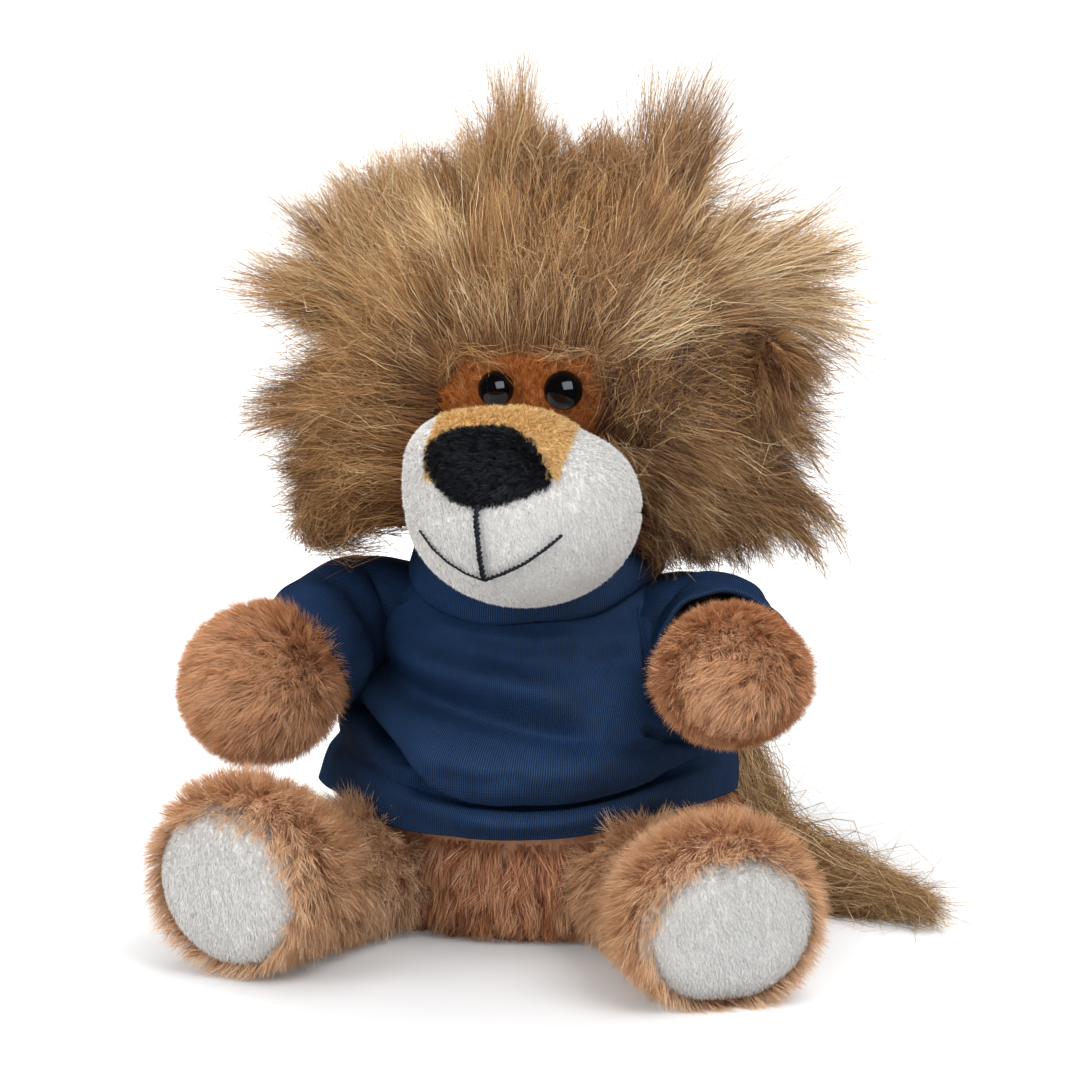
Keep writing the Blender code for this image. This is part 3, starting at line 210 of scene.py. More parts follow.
def mottled(name, dark, light, size, roughness, specular=0.5, bump=0.0, detail=4.0):
    """A material whose colour and surface vary over a real size."""
    material, shader, nodes, links = blank(name, roughness, specular)
    coords = nodes.new("ShaderNodeTexCoord")
    noise = nodes.new("ShaderNodeTexNoise")
    noise.inputs["Scale"].default_value = 1 / size
    noise.inputs["Detail"].default_value = detail
    links.new(coords.outputs["Object"], noise.inputs["Vector"])
    ramp = ramp_node(nodes, [(0.3, dark), (0.7, light)])
    links.new(noise.outputs["Fac"], ramp.inputs["Fac"])
    links.new(ramp.outputs["Color"], shader.inputs["Base Color"])
    if bump:
        relief = nodes.new("ShaderNodeBump")
        relief.inputs["Strength"].default_value = 0.6
        relief.inputs["Distance"].default_value = bump
        links.new(noise.outputs["Fac"], relief.inputs["Height"])
        links.new(relief.outputs["Normal"], shader.inputs["Normal"])
    return material


# Meshes


def mesh_object(name, points, starts, corners, material, maps=None):
    """A shown mesh from flat arrays of points, face starts and face corners."""
    mesh = bpy.data.meshes.new(name)
    mesh.vertices.add(len(points))
    mesh.vertices.foreach_set("co", np.asarray(points, np.float32).ravel())
    mesh.loops.add(len(corners))
    mesh.loops.foreach_set("vertex_index", np.asarray(corners, np.int32))
    mesh.polygons.add(len(starts))
    mesh.polygons.foreach_set("loop_start", np.asarray(starts, np.int32))
    if maps is not None:
        layer = mesh.uv_layers.new(name="OFBake")
        layer.data.foreach_set("uv", np.asarray(maps, np.float32).ravel())
    mesh.update(calc_edges=True)
    mesh.shade_smooth()
    mesh.materials.append(material)
    item = bpy.data.objects.new(name, mesh)
    bpy.context.scene.collection.objects.link(item)
    return item


def in_reach(paths):
    """Paths drawn in towards their roots, so that no hair stands far outside the solid's box."""
    low, high = np.array(CAD_BOX[0]), np.array(CAD_BOX[1])
    near = np.random.default_rng(5).random((len(paths), 1)) ** 2
    room = (0.03 * (high - low) + 9.6 * MM) * (1 - 0.35 * near)
    root = paths[:, 0]
    above = (high + room - root)[:, None] / np.maximum(paths - root[:, None], 1e-9)
    below = (root - low + room)[:, None] / np.maximum(root[:, None] - paths, 1e-9)
    share = np.clip(np.minimum(above, below).min((1, 2)), 0.05, 1)
    return root[:, None] + (paths - root[:, None]) * share[:, None, None]


def ribbons(name, paths, widths, tones, facing, material, body):
    """Hair as tapered ribbons, one for each path of points."""
    count, steps, _ = paths.shape
    paths = in_reach(paths)
    paths[..., 2] = np.maximum(paths[..., 2], 0.15 * MM)
    tangent = np.gradient(paths, axis=1)
    side = unit(np.cross(tangent, facing[:, None, :]))
    along = np.linspace(0, 1, steps)
    taper = 1 - 0.62 * along**2.2
    half = widths[:, None, None] * taper[None, :, None] / 2
    body_rows = steps - 1
    points = np.empty((count, 2 * body_rows + 1, 3))
    points[:, 0:-1:2] = (paths - side * half)[:, :-1]
    points[:, 1:-1:2] = (paths + side * half)[:, :-1]
    points[:, -1] = paths[:, -1]
    corners, starts, shares, sides = [], [], [], []
    for row in range(body_rows - 1):
        starts.append(len(corners))
        corners += [2 * row, 2 * row + 1, 2 * row + 3, 2 * row + 2]
        shares += [along[row], along[row], along[row + 1], along[row + 1]]
        sides += [-1, 1, 1, -1]
    starts.append(len(corners))
    corners += [2 * body_rows - 2, 2 * body_rows - 1, 2 * body_rows]
    shares += [along[-2], along[-2], 1.0]
    sides += [-1, 1, 0]
    base = np.arange(count)[:, None]
    all_corners = np.array(corners)[None] + base * (2 * body_rows + 1)
    all_starts = np.array(starts)[None] + base * len(corners)
    maps = np.empty((count, len(corners), 2))
    maps[..., 0] = np.clip(tones, 0.006, 0.994)[:, None] + 0.0025 * np.array(sides)
    maps[..., 1] = 0.004 + 0.992 * np.array(shares)
    item = mesh_object(
        name, points.reshape(-1, 3), all_starts.ravel(), all_corners.ravel(), material,
        maps.reshape(-1, 2)
    )
    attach(item, body)
    return item


def grid_object(name, grid, material, closed=True, caps=(False, False), flip=False):
    """A shown mesh from rows of points, closed round its columns and capped at its ends."""
    rows, columns = grid.shape[:2]
    points = grid.reshape(-1, 3)
    last = columns if closed else columns - 1
    r, c = np.meshgrid(np.arange(rows - 1), np.arange(last), indexing="ij")
    r, c = r.ravel(), c.ravel()
    after = (c + 1) % columns
    quads = np.stack(
        [r * columns + c, r * columns + after, (r + 1) * columns + after, (r + 1) * columns + c], 1
    )
    if flip:
        quads = quads[:, ::-1]
    right = np.where(after > c, after, columns)
    maps = np.stack(
        [
            np.stack([c / last, r / (rows - 1)], 1),
            np.stack([right / last, r / (rows - 1)], 1),
            np.stack([right / last, (r + 1) / (rows - 1)], 1),
            np.stack([c / last, (r + 1) / (rows - 1)], 1),
        ],
        1,
    )
    if flip:
        maps = maps[:, ::-1]
    maps = 0.002 + 0.96 * maps.reshape(-1, 2)
    corners = list(quads.ravel())
    starts = list(range(0, len(corners), 4))
    maps = list(map(tuple, maps))
    for which, shown in enumerate(caps):
        if not shown:
            continue
        ring = np.arange(columns) + (rows - 1) * columns * which
        middle = len(points)
        points = np.vstack([points, points[ring].mean(0)])
        for k in range(columns):
            starts.append(len(corners))
            pair = (ring[k], ring[(k + 1) % columns])
            pair = pair if (which == 0) == flip else pair[::-1]
            corners += [pair[0], pair[1], middle]
            low = 0.965 + 0.03 * which
            maps += [(low, k / columns), (low, (k + 0.9) / columns), (low + 0.005, (k + 0.4) / columns)]
    return mesh_object(name, points, starts, corners, material, maps)


def grid_normals(grid, closed=True, flip=False):
    """Outward directions at the points of a grid."""
    if closed:
        around = np.roll(grid, -1, 1) - np.roll(grid, 1, 1)
    else:
        around = np.gradient(grid, axis=1)
    along = np.gradient(grid, axis=0)
    normals = unit(np.cross(around, along))
    return -normals if flip else normals


def scatter(grid, normals, count, rng, weight=None, closed=True):
    """Random places on a grid by area, with their normals and their row and column shares."""
    rows, columns = grid.shape[:2]
    wide = columns if closed else columns - 1
    right = (np.arange(wide) + 1) % columns
    a, b = grid[:-1, :wide], grid[:-1][:, right]
    d, c = grid[1:, :wide], grid[1:][:, right]
    area = 0.5 * np.linalg.norm(np.cross(c - a, d - b), axis=-1)
    if weight is not None:
        area = area * weight((a + b + c + d) / 4)
    cell = rng.choice(area.size, count, p=area.ravel() / area.sum())
    r, k = np.divmod(cell, wide)
    u, v = rng.random(count)[:, None], rng.random(count)[:, None]

    def mixed(values):
        low = values[r, k] * (1 - u) + values[r, right[k]] * u
        high = values[r + 1, k] * (1 - u) + values[r + 1, right[k]] * u
        return low * (1 - v) + high * v

    along = unit(grid[r + 1, k] - grid[r, k])
    return mixed(grid), unit(mixed(normals)), along, (r + v[:, 0]) / (rows - 1), (k + u[:, 0]) / wide


def clumps(roots, count, rng):
    """For each root, the index of the nearest of some roots that lead a clump."""
    leaders = rng.choice(len(roots), count, replace=False)
    tree = kdtree.KDTree(count)
    for k, leader in enumerate(leaders):
        tree.insert(roots[leader], k)
    tree.balance()
    nearest = np.array([tree.find(root)[1] for root in roots])
    return leaders, nearest


def plush(name, roots, normals, comb, material, body, rng, length, width, lift=0.6,
          clump_count=600, pull=0.5, curl=0.25, tone=0.5, tone_clump=0.12, tone_strand=0.08,
          droop=0.0, steps=4, jitter=0.18, tones=None, mess=0.35):
    """Short pile: each hair leans from the normal towards the comb and gathers into clumps."""
    count = len(roots)
    lengths = length * (0.75 + 0.4 * rng.random(count))
    leaders, nearest = clumps(roots, clump_count, rng)
    lean = unit(comb) + mess * rng.normal(size=(clump_count, 3))[nearest]
    lean -= normals * np.sum(lean * normals, 1)[:, None]
    start = unit(normals * lift + lean * (1 - lift) + jitter * rng.normal(size=(count, 3)))
    bend = curl * lean + 0.08 * rng.normal(size=(count, 3))
    bend[:, 2] -= droop
    s = np.linspace(0, 1, steps)[None, :, None]
    paths = roots[:, None] + lengths[:, None, None] * (start[:, None] * s + bend[:, None] * s**2)
    lead = paths[leaders][nearest]
    gather = pull * (0.6 + 0.6 * rng.random(count))[:, None, None] * s**1.3
    paths = paths + (lead - paths) * np.clip(gather, 0, 0.95)
    shade = tone if tones is None else tones
    shade = (
        shade
        + tone_clump * rng.normal(size=clump_count)[nearest]
        + tone_strand * rng.normal(size=count)
    )
    widths = width * (0.7 + 0.6 * rng.random(count))
    facing = unit(normals + 0.6 * rng.normal(size=(count, 3)))
    return ribbons(name, paths, widths, shade, facing, material, body)


# Measures of the frame

SIDES = (("left", 1.0), ("right", -1.0))
TORSO_HEIGHT = 78.0 * MM
TORSO_HALF_WIDTH = 41.0 * MM
TORSO_HALF_DEPTH = 37.0 * MM
TORSO_SHARES = (
    (0.00, 0.74, 0.76),
    (0.05, 0.88, 0.89),
    (0.15, 0.975, 0.97),
    (0.32, 1.00, 1.00),
    (0.49, 0.96, 0.97),
    (0.64, 0.885, 0.88),
    (0.77, 0.81, 0.78),
    (0.87, 0.70, 0.66),
    (0.95, 0.53, 0.52),
    (1.00, 0.40, 0.41),
)
SHOULDER = np.array((39.0, -6.0, 63.5)) * MM
ARM_ROOT_RADIUS = 10.6 * MM
ARM_LENGTH = 53.0 * MM
PAW_RADIUS = 15.2 * MM
PAW_START_SHARE = 0.42
PAW_MIDDLE_SHARE = 0.70
ARM_OUT_DEG = {"left": 21.0, "right": 17.0}
ARM_DOWN_DEG = {"left": 3.5, "right": 14.5}
HIP = np.array((30.0, -31.0, 14.4)) * MM
LEG_ROOT_RADIUS = 13.0 * MM
LEG_LENGTH = {"left": 54.0 * MM, "right": 48.5 * MM}
LEG_OUT_DEG = {"left": 33.0, "right": 19.5}
FOOT_HALF_WIDTH = 19.5 * MM
FOOT_HALF_HEIGHT = 18.0 * MM
FOOT_ROLL_DEG = 20.0
LEG_SHARES = (
    (0.00, 0.667, 0.756),
    (0.30, 0.650, 0.740),
    (0.55, 0.800, 0.860),
    (0.78, 0.985, 0.990),
    (0.90, 1.000, 1.000),
    (1.00, 0.930, 0.890),
)
HEAD = np.array((7.0, 2.0, 118.0)) * MM
HEAD_HALVES = np.array((35.0, 33.0, 35.0)) * MM
MUZZLE = np.array((8.0, -42.5, 95.0)) * MM
MUZZLE_HALVES = np.array((24.5, 23.0, 20.3)) * MM
TAIL_ROOT = np.array((9.0, 38.4, 20.0)) * MM
TAIL_REACH, TAIL_DEPTH, TAIL_DROP = 82.0 * MM, 34.0 * MM, 15.5 * MM
TAIL_STEM_RADIUS = 5.4 * MM
TAIL_ROUTE_SHARES = (
    (0.00, 0.00, 0.00, 0.00),
    (0.20, 0.17, 0.25, 0.42),
    (0.38, 0.38, 0.06, 0.42),
    (0.58, 0.52, -0.20, -0.42),
    (0.78, 0.74, -0.58, -0.84),
    (1.00, 1.00, -1.02, -1.04),
)
SHIRT_SLACK = 4.2 * MM
SHIRT_TOP_Z = 66.5 * MM
SHIRT_SLACK_SHARES = (
    (0.00, 0.55, 0.55),
    (0.14, 0.40, 0.62),
    (0.20, 0.20, 0.10),
    (0.28, 0.45, 0.75),
    (0.42, 0.50, 1.00),
    (0.62, 0.40, 0.62),
    (0.82, 0.32, 0.40),
    (1.00, 0.28, 0.30),
)


def torso_halves(z):
    """Half width and half depth of the torso at a height."""
    width, depth = between(TORSO_SHARES, min(max(z / TORSO_HEIGHT, 0.0), 1.0))
    return width * TORSO_HALF_WIDTH, depth * TORSO_HALF_DEPTH


def arm_axis(side, sign):
    """The way an arm points."""
    out, down = math.radians(ARM_OUT_DEG[side]), math.radians(ARM_DOWN_DEG[side])
    flat = math.cos(down)
    return np.array((sign * math.sin(out) * flat, -math.cos(out) * flat, -math.sin(down)))


def arm_radius(share):
    """Radius of an arm at a share of its length."""
    swell = eased((share - PAW_START_SHARE) / (PAW_MIDDLE_SHARE - PAW_START_SHARE))
    rest = np.clip((share - PAW_MIDDLE_SHARE) / (1 - PAW_MIDDLE_SHARE), 0, 1)
    grown = ARM_ROOT_RADIUS + (PAW_RADIUS - ARM_ROOT_RADIUS) * swell
    return np.where(share <= PAW_MIDDLE_SHARE, grown, PAW_RADIUS * np.sqrt(1 - rest**2))


def circle(count):
    """Angles round a ring."""
    return 2 * math.pi * np.arange(count) / count


def frame_of(axis):
    """Across and up directions square to an axis."""
    across = unit(np.cross(axis, (0, 0, 1.0)))
    return across, np.cross(across, axis)


def arm_grid(side, sign, inset, rows=44, sides=56):
    """Rows of points round an arm, from its root to the tip of the paw."""
    axis = arm_axis(side, sign)
    across, up = frame_of(axis)
    place = SHOULDER * (sign, 1, 1)
    share = np.sin(np.linspace(0, math.pi / 2, rows)) ** 0.8
    share[-1] = 0.9995
    radius = arm_radius(share) * (1 - inset / PAW_RADIUS)
    middle = place + axis * (share * (ARM_LENGTH - inset))[:, None]
    angle = circle(sides)
    ring = np.cos(angle)[:, None] * across + np.sin(angle)[:, None] * up
    return middle[:, None] + ring[None] * radius[:, None, None]


def spun(vector, axis, angle):
    """A vector turned about an axis."""
    return (
        vector * math.cos(angle)
        + np.cross(axis, vector) * math.sin(angle)
        + axis * (axis @ vector) * (1 - math.cos(angle))
    )


def leg_axis(side, sign):
    """The way a leg points, level with the ground."""
    out = math.radians(LEG_OUT_DEG[side])
    return np.array((sign * math.sin(out), -math.cos(out), 0.0))


def leg_ring(side, sign, share, inset, sides):
    """One oval of a leg, and its middle."""
    width, height = between(LEG_SHARES, max(share, 0.0))
    half_width, half_height = width * FOOT_HALF_WIDTH, height * FOOT_HALF_HEIGHT
    axis = leg_axis(side, sign)
    roll = math.radians(FOOT_ROLL_DEG) * float(eased(share)) * sign
    across = spun(unit(np.cross(axis, (0, 0, 1.0))), axis, roll)
    up = spun(np.array((0, 0, 1.0)), axis, roll)
    resting = math.hypot(half_width * across[2], half_height * up[2]) - 0.5 * MM
    settled = float(eased(share / 0.35))
    middle = HIP * (sign, 1, 1) + axis * share * LEG_LENGTH[side]
    middle[2] = HIP[2] + (resting - HIP[2]) * settled
    angle = circle(sides)
    ring = (
        np.cos(angle)[:, None] * across * (half_width - inset)
        + np.sin(angle)[:, None] * up * (half_height - inset)
    )
    return middle + ring, middle


def leg_grid(side, sign, inset, rows=46, sides=56):
    """Rows of points along a leg, from its round root to the edge of the sole."""
    shares = np.linspace(-0.2, 1.0, rows)
    grid = []
    for share in shares:
        ring, middle = leg_ring(side, sign, share, inset, sides)
        if share < 0:
            shrink = math.sqrt(max(1 - (share * LEG_LENGTH[side] / LEG_ROOT_RADIUS) ** 2, 0.02))
            ring = middle + (ring - middle) * shrink
        grid.append(ring)
    return np.array(grid)


def ellipsoid_point(centre, halves, lift, side, offset):
    """Points of a round solid at angles up and to the left from straight ahead."""
    halves = halves + offset
    return centre + np.stack(
        [
            halves[0] * np.cos(lift) * np.sin(side),
            -halves[1] * np.cos(lift) * np.cos(side),
            halves[2] * np.sin(lift) + 0 * side,
        ],
        -1,
    )


def hit(across, down, centre, halves):
    """Where lines of sight through places in the picture meet a round solid, and whether."""
    start = (STAND - centre) / halves
    way = unit(placed(across, down, 0.0) - STAND)
    scaled = way / halves
    a = np.sum(scaled**2, -1)
    b = np.sum(scaled * start, -1)
    c = start @ start - 1
    inside = b * b - a * c
    far = (-b - np.sqrt(np.maximum(inside, 0))) / a
    return STAND + way * far[..., None], inside > 0


# Looks

FUR_TAN = fur_material(
    "fur_tan",
    [(168, 98, 58), (206, 144, 100), (230, 178, 134), (242, 202, 162), (250, 224, 192)],
    (222, 194, 174),
)
FUR_BROWN = fur_material(
    "fur_brown",
    [(66, 40, 22), (130, 86, 48), (184, 136, 84), (220, 182, 130), (248, 226, 184)],
    (172, 148, 126),
)
FUR_OLIVE = fur_material(
    "fur_olive",
    [(104, 74, 42), (150, 112, 70), (188, 148, 102), (216, 182, 136), (236, 210, 170)],
    (196, 182, 160),
)
PILE_WHITE = fur_material(
    "pile_white", [(226, 224, 221), (236, 234, 231), (246, 245, 243)], (246, 245, 244), 0.7, 0.15
)
PILE_ORANGE = fur_material(
    "pile_orange", [(158, 84, 34), (204, 124, 62), (226, 152, 92)], (200, 176, 156), 0.65, 0.15
)
PILE_OCHRE = fur_material(
    "pile_ochre", [(214, 170, 106), (232, 194, 132), (244, 214, 162)], (232, 216, 196), 0.65, 0.15
)
PILE_BLACK = fur_material(
    "pile_black_nose", [(12, 12, 15), (24, 24, 29), (46, 46, 54)], (140, 140, 140), 0.6, 0.2
)
SKIN_TAN = mottled("skin_tan", (184, 132, 98), (202, 152, 116), 2 * MM, 0.8)
SKIN_BROWN = mottled("skin_brown", (84, 56, 34), (112, 78, 48), 2 * MM, 0.8)
SKIN_WHITE = mottled("skin_white", (234, 232, 229), (242, 240, 238), 1.2 * MM, 0.8)
SKIN_ORANGE = mottled("skin_orange", (150, 78, 30), (186, 106, 50), 1.2 * MM, 0.8)
SKIN_OCHRE = mottled("skin_ochre", (206, 160, 96), (222, 178, 114), 1.2 * MM, 0.8)
SKIN_BLACK = mottled("skin_black", (7, 7, 8), (13, 13, 15), 1.2 * MM, 0.8)
EYE_BLACK = mottled("eye_black", (3, 3, 4), (5, 5, 6), 3 * MM, 0.09, 0.34)
THREAD = mottled("thread_navy_black", (10, 11, 18), (26, 28, 40), 0.4 * MM, 0.6, 0.3)
FIBRE = mottled("fibre_fill", (222, 220, 214), (242, 240, 236), 3 * MM, 0.9, 0.2, 0.4 * MM)
POUCH = mottled("pouch_cloth", (178, 178, 174), (196, 196, 192), 1 * MM, 0.85, 0.3, 0.1 * MM)
CLEAR = mottled("washer_plastic", (214, 214, 210), (226, 226, 222), 4 * MM, 0.35)

# Pieces that stay as they are

for node, look in (
    ("head_stuffing", FIBRE), ("torso_stuffing", FIBRE), ("neck_stuffing", FIBRE),
    ("arm_stuffing_left", FIBRE), ("arm_stuffing_right", FIBRE), ("pellet_bag", POUCH),
    ("eye_washer_left", CLEAR),
    ("eye_washer_right", CLEAR), ("tail_stem", SKIN_TAN),
):
    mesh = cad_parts[node].data
    mesh.materials.clear()
    mesh.materials.append(look)

# Arms

PILE = 6.6 * MM
ARM_PILE = 5.6 * MM
ARM_INSET = 2.1 * MM
ARM_HAIRS = 44000
CUFF_OUT = {"right": unit(-0.725 * RIGHT - 0.577 * UP - 0.37 * LOOK), "left": arm_axis("left", 1.0)}
CUFF_PLACE = {
    "right": np.array((-42.0, -28.5, 58.6)) * MM,
    "left": SHOULDER + arm_axis("left", 1.0) * 20 * MM,
}
for side, sign in SIDES:
    rng = np.random.default_rng(11 if side == "left" else 12)
    grid = arm_grid(side, sign, ARM_INSET)
    axis = arm_axis(side, sign)
    if side == "left":
        paw = SHOULDER * (sign, 1, 1) + axis * ARM_LENGTH * PAW_MIDDLE_SHARE
        squat = 0.05 * eased((np.linspace(0, 1, len(grid)) - 0.4) / 0.2)[:, None]
        grid = grid - ((grid - paw) @ UP * squat)[..., None] * UP
    bag = grid_object("arm_bag_" + side, grid, SKIN_TAN, caps=(True, True), flip=True)
    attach(bag, "arm_" + side)
    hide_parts("arm_skin_" + side)
    normals = grid_normals(grid)
    middle = SHOULDER * (sign, 1, 1) + axis * ARM_LENGTH * PAW_MIDDLE_SHARE
    normals *= np.sign(np.sum(normals * (grid - middle), -1).sum())
    roots, outs, along, row, column = scatter(
        grid, normals, ARM_HAIRS, rng,
        lambda p: ((p - CUFF_PLACE[side]) @ CUFF_OUT[side] > (-3.0 if side == "left" else 0.3) * MM) + 0.0
    )
    tip = eased((row - 0.55) / 0.3)[:, None]
    comb = along * (1 - 1.05 * tip) + tip * (-0.5 * RIGHT - 0.3 * UP) + (0.0, 0, -0.15)
    pile = ARM_PILE * (1 - 0.42 * np.abs(outs @ UP)) if side == "left" else ARM_PILE
    if side == "right":
        comb = CUFF_OUT[side] + 0.15 * outs - 0.25 * RIGHT
    # Tones: lighter where the fur faces the camera, a painted light, and darker next to the cuff, a painted
    # shade under the sleeve.
    painted_cuff_shade = eased(1 - ((roots - CUFF_PLACE[side]) @ CUFF_OUT[side]) / (9 * MM))
    base = 0.46
    tones = base + 0.07 * (outs @ -LOOK) - 0.14 * painted_cuff_shade
    plush("arm_fur_" + side, roots, outs, comb, FUR_TAN, "arm_" + side, rng, pile,
          0.12 * MM, lift=0.56, clump_count=2600, pull=0.2, curl=0.24, tones=tones,
          tone_clump=0.05, tone_strand=0.04, jitter=0.11, mess=0.36)

# Legs and soles

FOOT_MOVE = {"right": np.array((0.4, 0.8, 3.2)) * MM, "left": np.array((1.0, 0.0, 0.6)) * MM}
SOLE_SHARES = {"right": (0.965, 1.02), "left": (1.04, 0.93)}
LEG_INSET = 1.8 * MM
LEG_FILLING_INSET = 5.0 * MM
LEG_HAIRS = 44000
SOLE_PILE = 1.0 * MM
SOLE_HAIRS = 22000


def under_shirt(points):
    """1 where a point lies inside the shirt, else 0."""
    inside = (points[..., 0] / (44 * MM)) ** 2 + (points[..., 1] / (41 * MM)) ** 2 < 1
    return (inside & (points[..., 2] > 20 * MM)) + 0.0


for side, sign in SIDES:
    rng = np.random.default_rng(21 if side == "left" else 22)
    grid = leg_grid(side, sign, LEG_INSET)
    axis = leg_axis(side, sign)
    lifted = eased(np.linspace(-0.2, 1.0, len(grid)) * 1.2)[:, None]
    grid = grid + lifted[..., None] * FOOT_MOVE[side]
    grid[..., 2] = np.maximum(grid[..., 2], 1.2 * MM)
    bag = grid_object("leg_bag_" + side, grid, SKIN_TAN, caps=(True, True), flip=True)
    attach(bag, "leg_" + side)
    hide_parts("leg_skin_" + side)
    core = leg_grid(side, sign, LEG_FILLING_INSET)
    core = core + lifted[..., None] * FOOT_MOVE[side] - axis * 1.5 * MM
    core[..., 2] = np.maximum(core[..., 2], 4.2 * MM)
    core = grid_object("leg_filling_" + side, core, FIBRE, caps=(True, True), flip=True)
    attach(core, "leg_" + side)
    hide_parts("leg_stuffing_" + side)
    normals = grid_normals(grid)
    normals *= np.sign(np.sum(normals * (grid - grid.mean(1, keepdims=True)), -1).sum())
    roots, outs, along, row, column = scatter(
        grid, normals, LEG_HAIRS, rng, lambda p: 1 - under_shirt(p)
    )
    towards_sole = along * (0.75 - 0.4 * eased((row - 0.78) / 0.22))[:, None]
    comb = towards_sole + 0.3 * (outs @ UP)[:, None] * RIGHT * -sign + (0, 0, -0.1)
    # Tones: lighter where the fur faces the camera, a painted light, and darker towards the sole.
    tones = 0.74 + 0.05 * (outs @ -LOOK) - 0.05 * eased((row - 0.66) / 0.34)
    plush("leg_fur_" + side, roots, outs, comb, FUR_TAN, "leg_" + side, rng, PILE,
          0.12 * MM, lift=0.54, clump_count=3000, pull=0.18, curl=0.24, tones=tones,
          tone_clump=0.05, tone_strand=0.04, jitter=0.11, mess=0.3)
    rim, middle = leg_ring(side, sign, 1.0, 0.0, 72)
    rim, middle = rim + FOOT_MOVE[side], middle + FOOT_MOVE[side]
    wide, high = SOLE_SHARES[side]
    level = unit(np.cross(axis, (0, 0, 1.0)))
    flat = ((rim - middle) @ level)[:, None] * level
    rim = middle + flat * wide + (rim - middle - flat) * high
    rim[:, 2] = np.maximum(rim[:, 2], 2.0 * MM)
    shares = np.linspace(0.02, 1.0, 22)
    dome = np.array([
        middle + (rim - middle) * share + axis * (4.6 * MM - 1.2 * MM * share**2 - 5.2 * MM * share**9)
        for share in shares
    ])
    dome[..., 2] = np.maximum(dome[..., 2], 0.3 * MM)
    sole = grid_object("sole_pad_" + side, dome, SKIN_WHITE, caps=(True, True))
    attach(sole, "leg_" + side)
    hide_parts("sole_" + side)
    normals = grid_normals(dome)
    normals *= np.sign((normals @ axis).sum())
    roots, outs, along, row, column = scatter(dome, normals, SOLE_HAIRS, rng)
    comb = np.array((0.2, 0, -1.0)) + 0 * outs
    plush("sole_pile_" + side, roots, outs, comb, PILE_WHITE, "leg_" + side, rng,
          SOLE_PILE, 0.13 * MM, lift=0.42, clump_count=5000, pull=0.1, curl=0.25, tone=0.5,
          tone_clump=0.06, tone_strand=0.07, steps=3, jitter=0.12, mess=0.22)

# Torso

TORSO_INSET = 1.6 * MM
TORSO_PILE = 6.0 * MM
TORSO_HAIRS = 26000
rng = np.random.default_rng(31)
rows = []
for z in np.linspace(1.0, 78.0, 48) * MM:
    half_width, half_depth = torso_halves(z)
    angle = circle(96)
    rows.append(np.stack([
        (half_width - TORSO_INSET) * np.cos(angle), (half_depth - TORSO_INSET) * np.sin(angle), z + 0 * angle
    ], 1))
grid = np.array(rows)
bag = grid_object("torso_bag", grid, SKIN_TAN, caps=(True, True), flip=False)
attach(bag, "torso")
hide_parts("torso_skin")
normals = grid_normals(grid)
normals *= np.sign(np.sum(normals * (grid - (0, 0, 0.04)), -1).sum())
roots, outs, along, row, column = scatter(
    grid, normals, TORSO_HAIRS, rng,
    lambda p: (p[..., 2] < 23 * MM + 4 * MM * (p[..., 1] > -20 * MM)) + 0.0
)
comb = np.array((0, 0, -1.0)) + 0 * outs
plush("torso_fur", roots, outs, comb, FUR_TAN, "torso", rng, TORSO_PILE, 0.17 * MM,
      lift=0.48, clump_count=1200, pull=0.4, curl=0.3, tone=0.24)

# Shirt

HEM_FRONT_Z, HEM_SIDE_Z, HEM_BACK_Z = 24.0 * MM, 28.5 * MM, 28.0 * MM
NECK_RISE = 6.5 * MM


def hem_height(angle):
    """Height of the shirt's lower edge at an angle round the torso."""
    forward = max(-math.sin(angle), 0.0)
    backward = max(math.sin(angle), 0.0)
    drop = (HEM_SIDE_Z - HEM_FRONT_Z) * float(eased((forward - 0.55) / 0.45))
    return HEM_SIDE_Z - drop + (HEM_BACK_Z - HEM_SIDE_Z) * backward


def neck_height(angle):
    """Height of the shirt's upper edge at an angle round the torso."""
    behind = np.maximum(np.sin(angle), 0.0)
    return SHIRT_TOP_Z + 0.8 * MM + NECK_RISE * (np.cos(angle) ** 2 + 0.4 * behind**2)


def route_distance(across, down, route):
    """Distance from places in the picture to a route, the side of it, and the share along it."""
    best = np.full(across.shape, 1e9)
    side = np.zeros(across.shape)
    share = np.zeros(across.shape)
    legs = len(route) - 1
    for k in range(legs):
        ax, ay = route[k]
        bx, by = route[k + 1]
        dx, dy = bx - ax, by - ay
        long = dx * dx + dy * dy
        t = np.clip(((across - ax) * dx + (down - ay) * dy) / long, 0, 1)
        ex, ey = across - ax - t * dx, down - ay - t * dy
        far = np.hypot(ex, ey)
        near = far < best
        best = np.where(near, far, best)
        side = np.where(near, np.sign(dx * ey - dy * ex), side)
        share = np.where(near, (k + t) / legs, share)
    return best, side, share


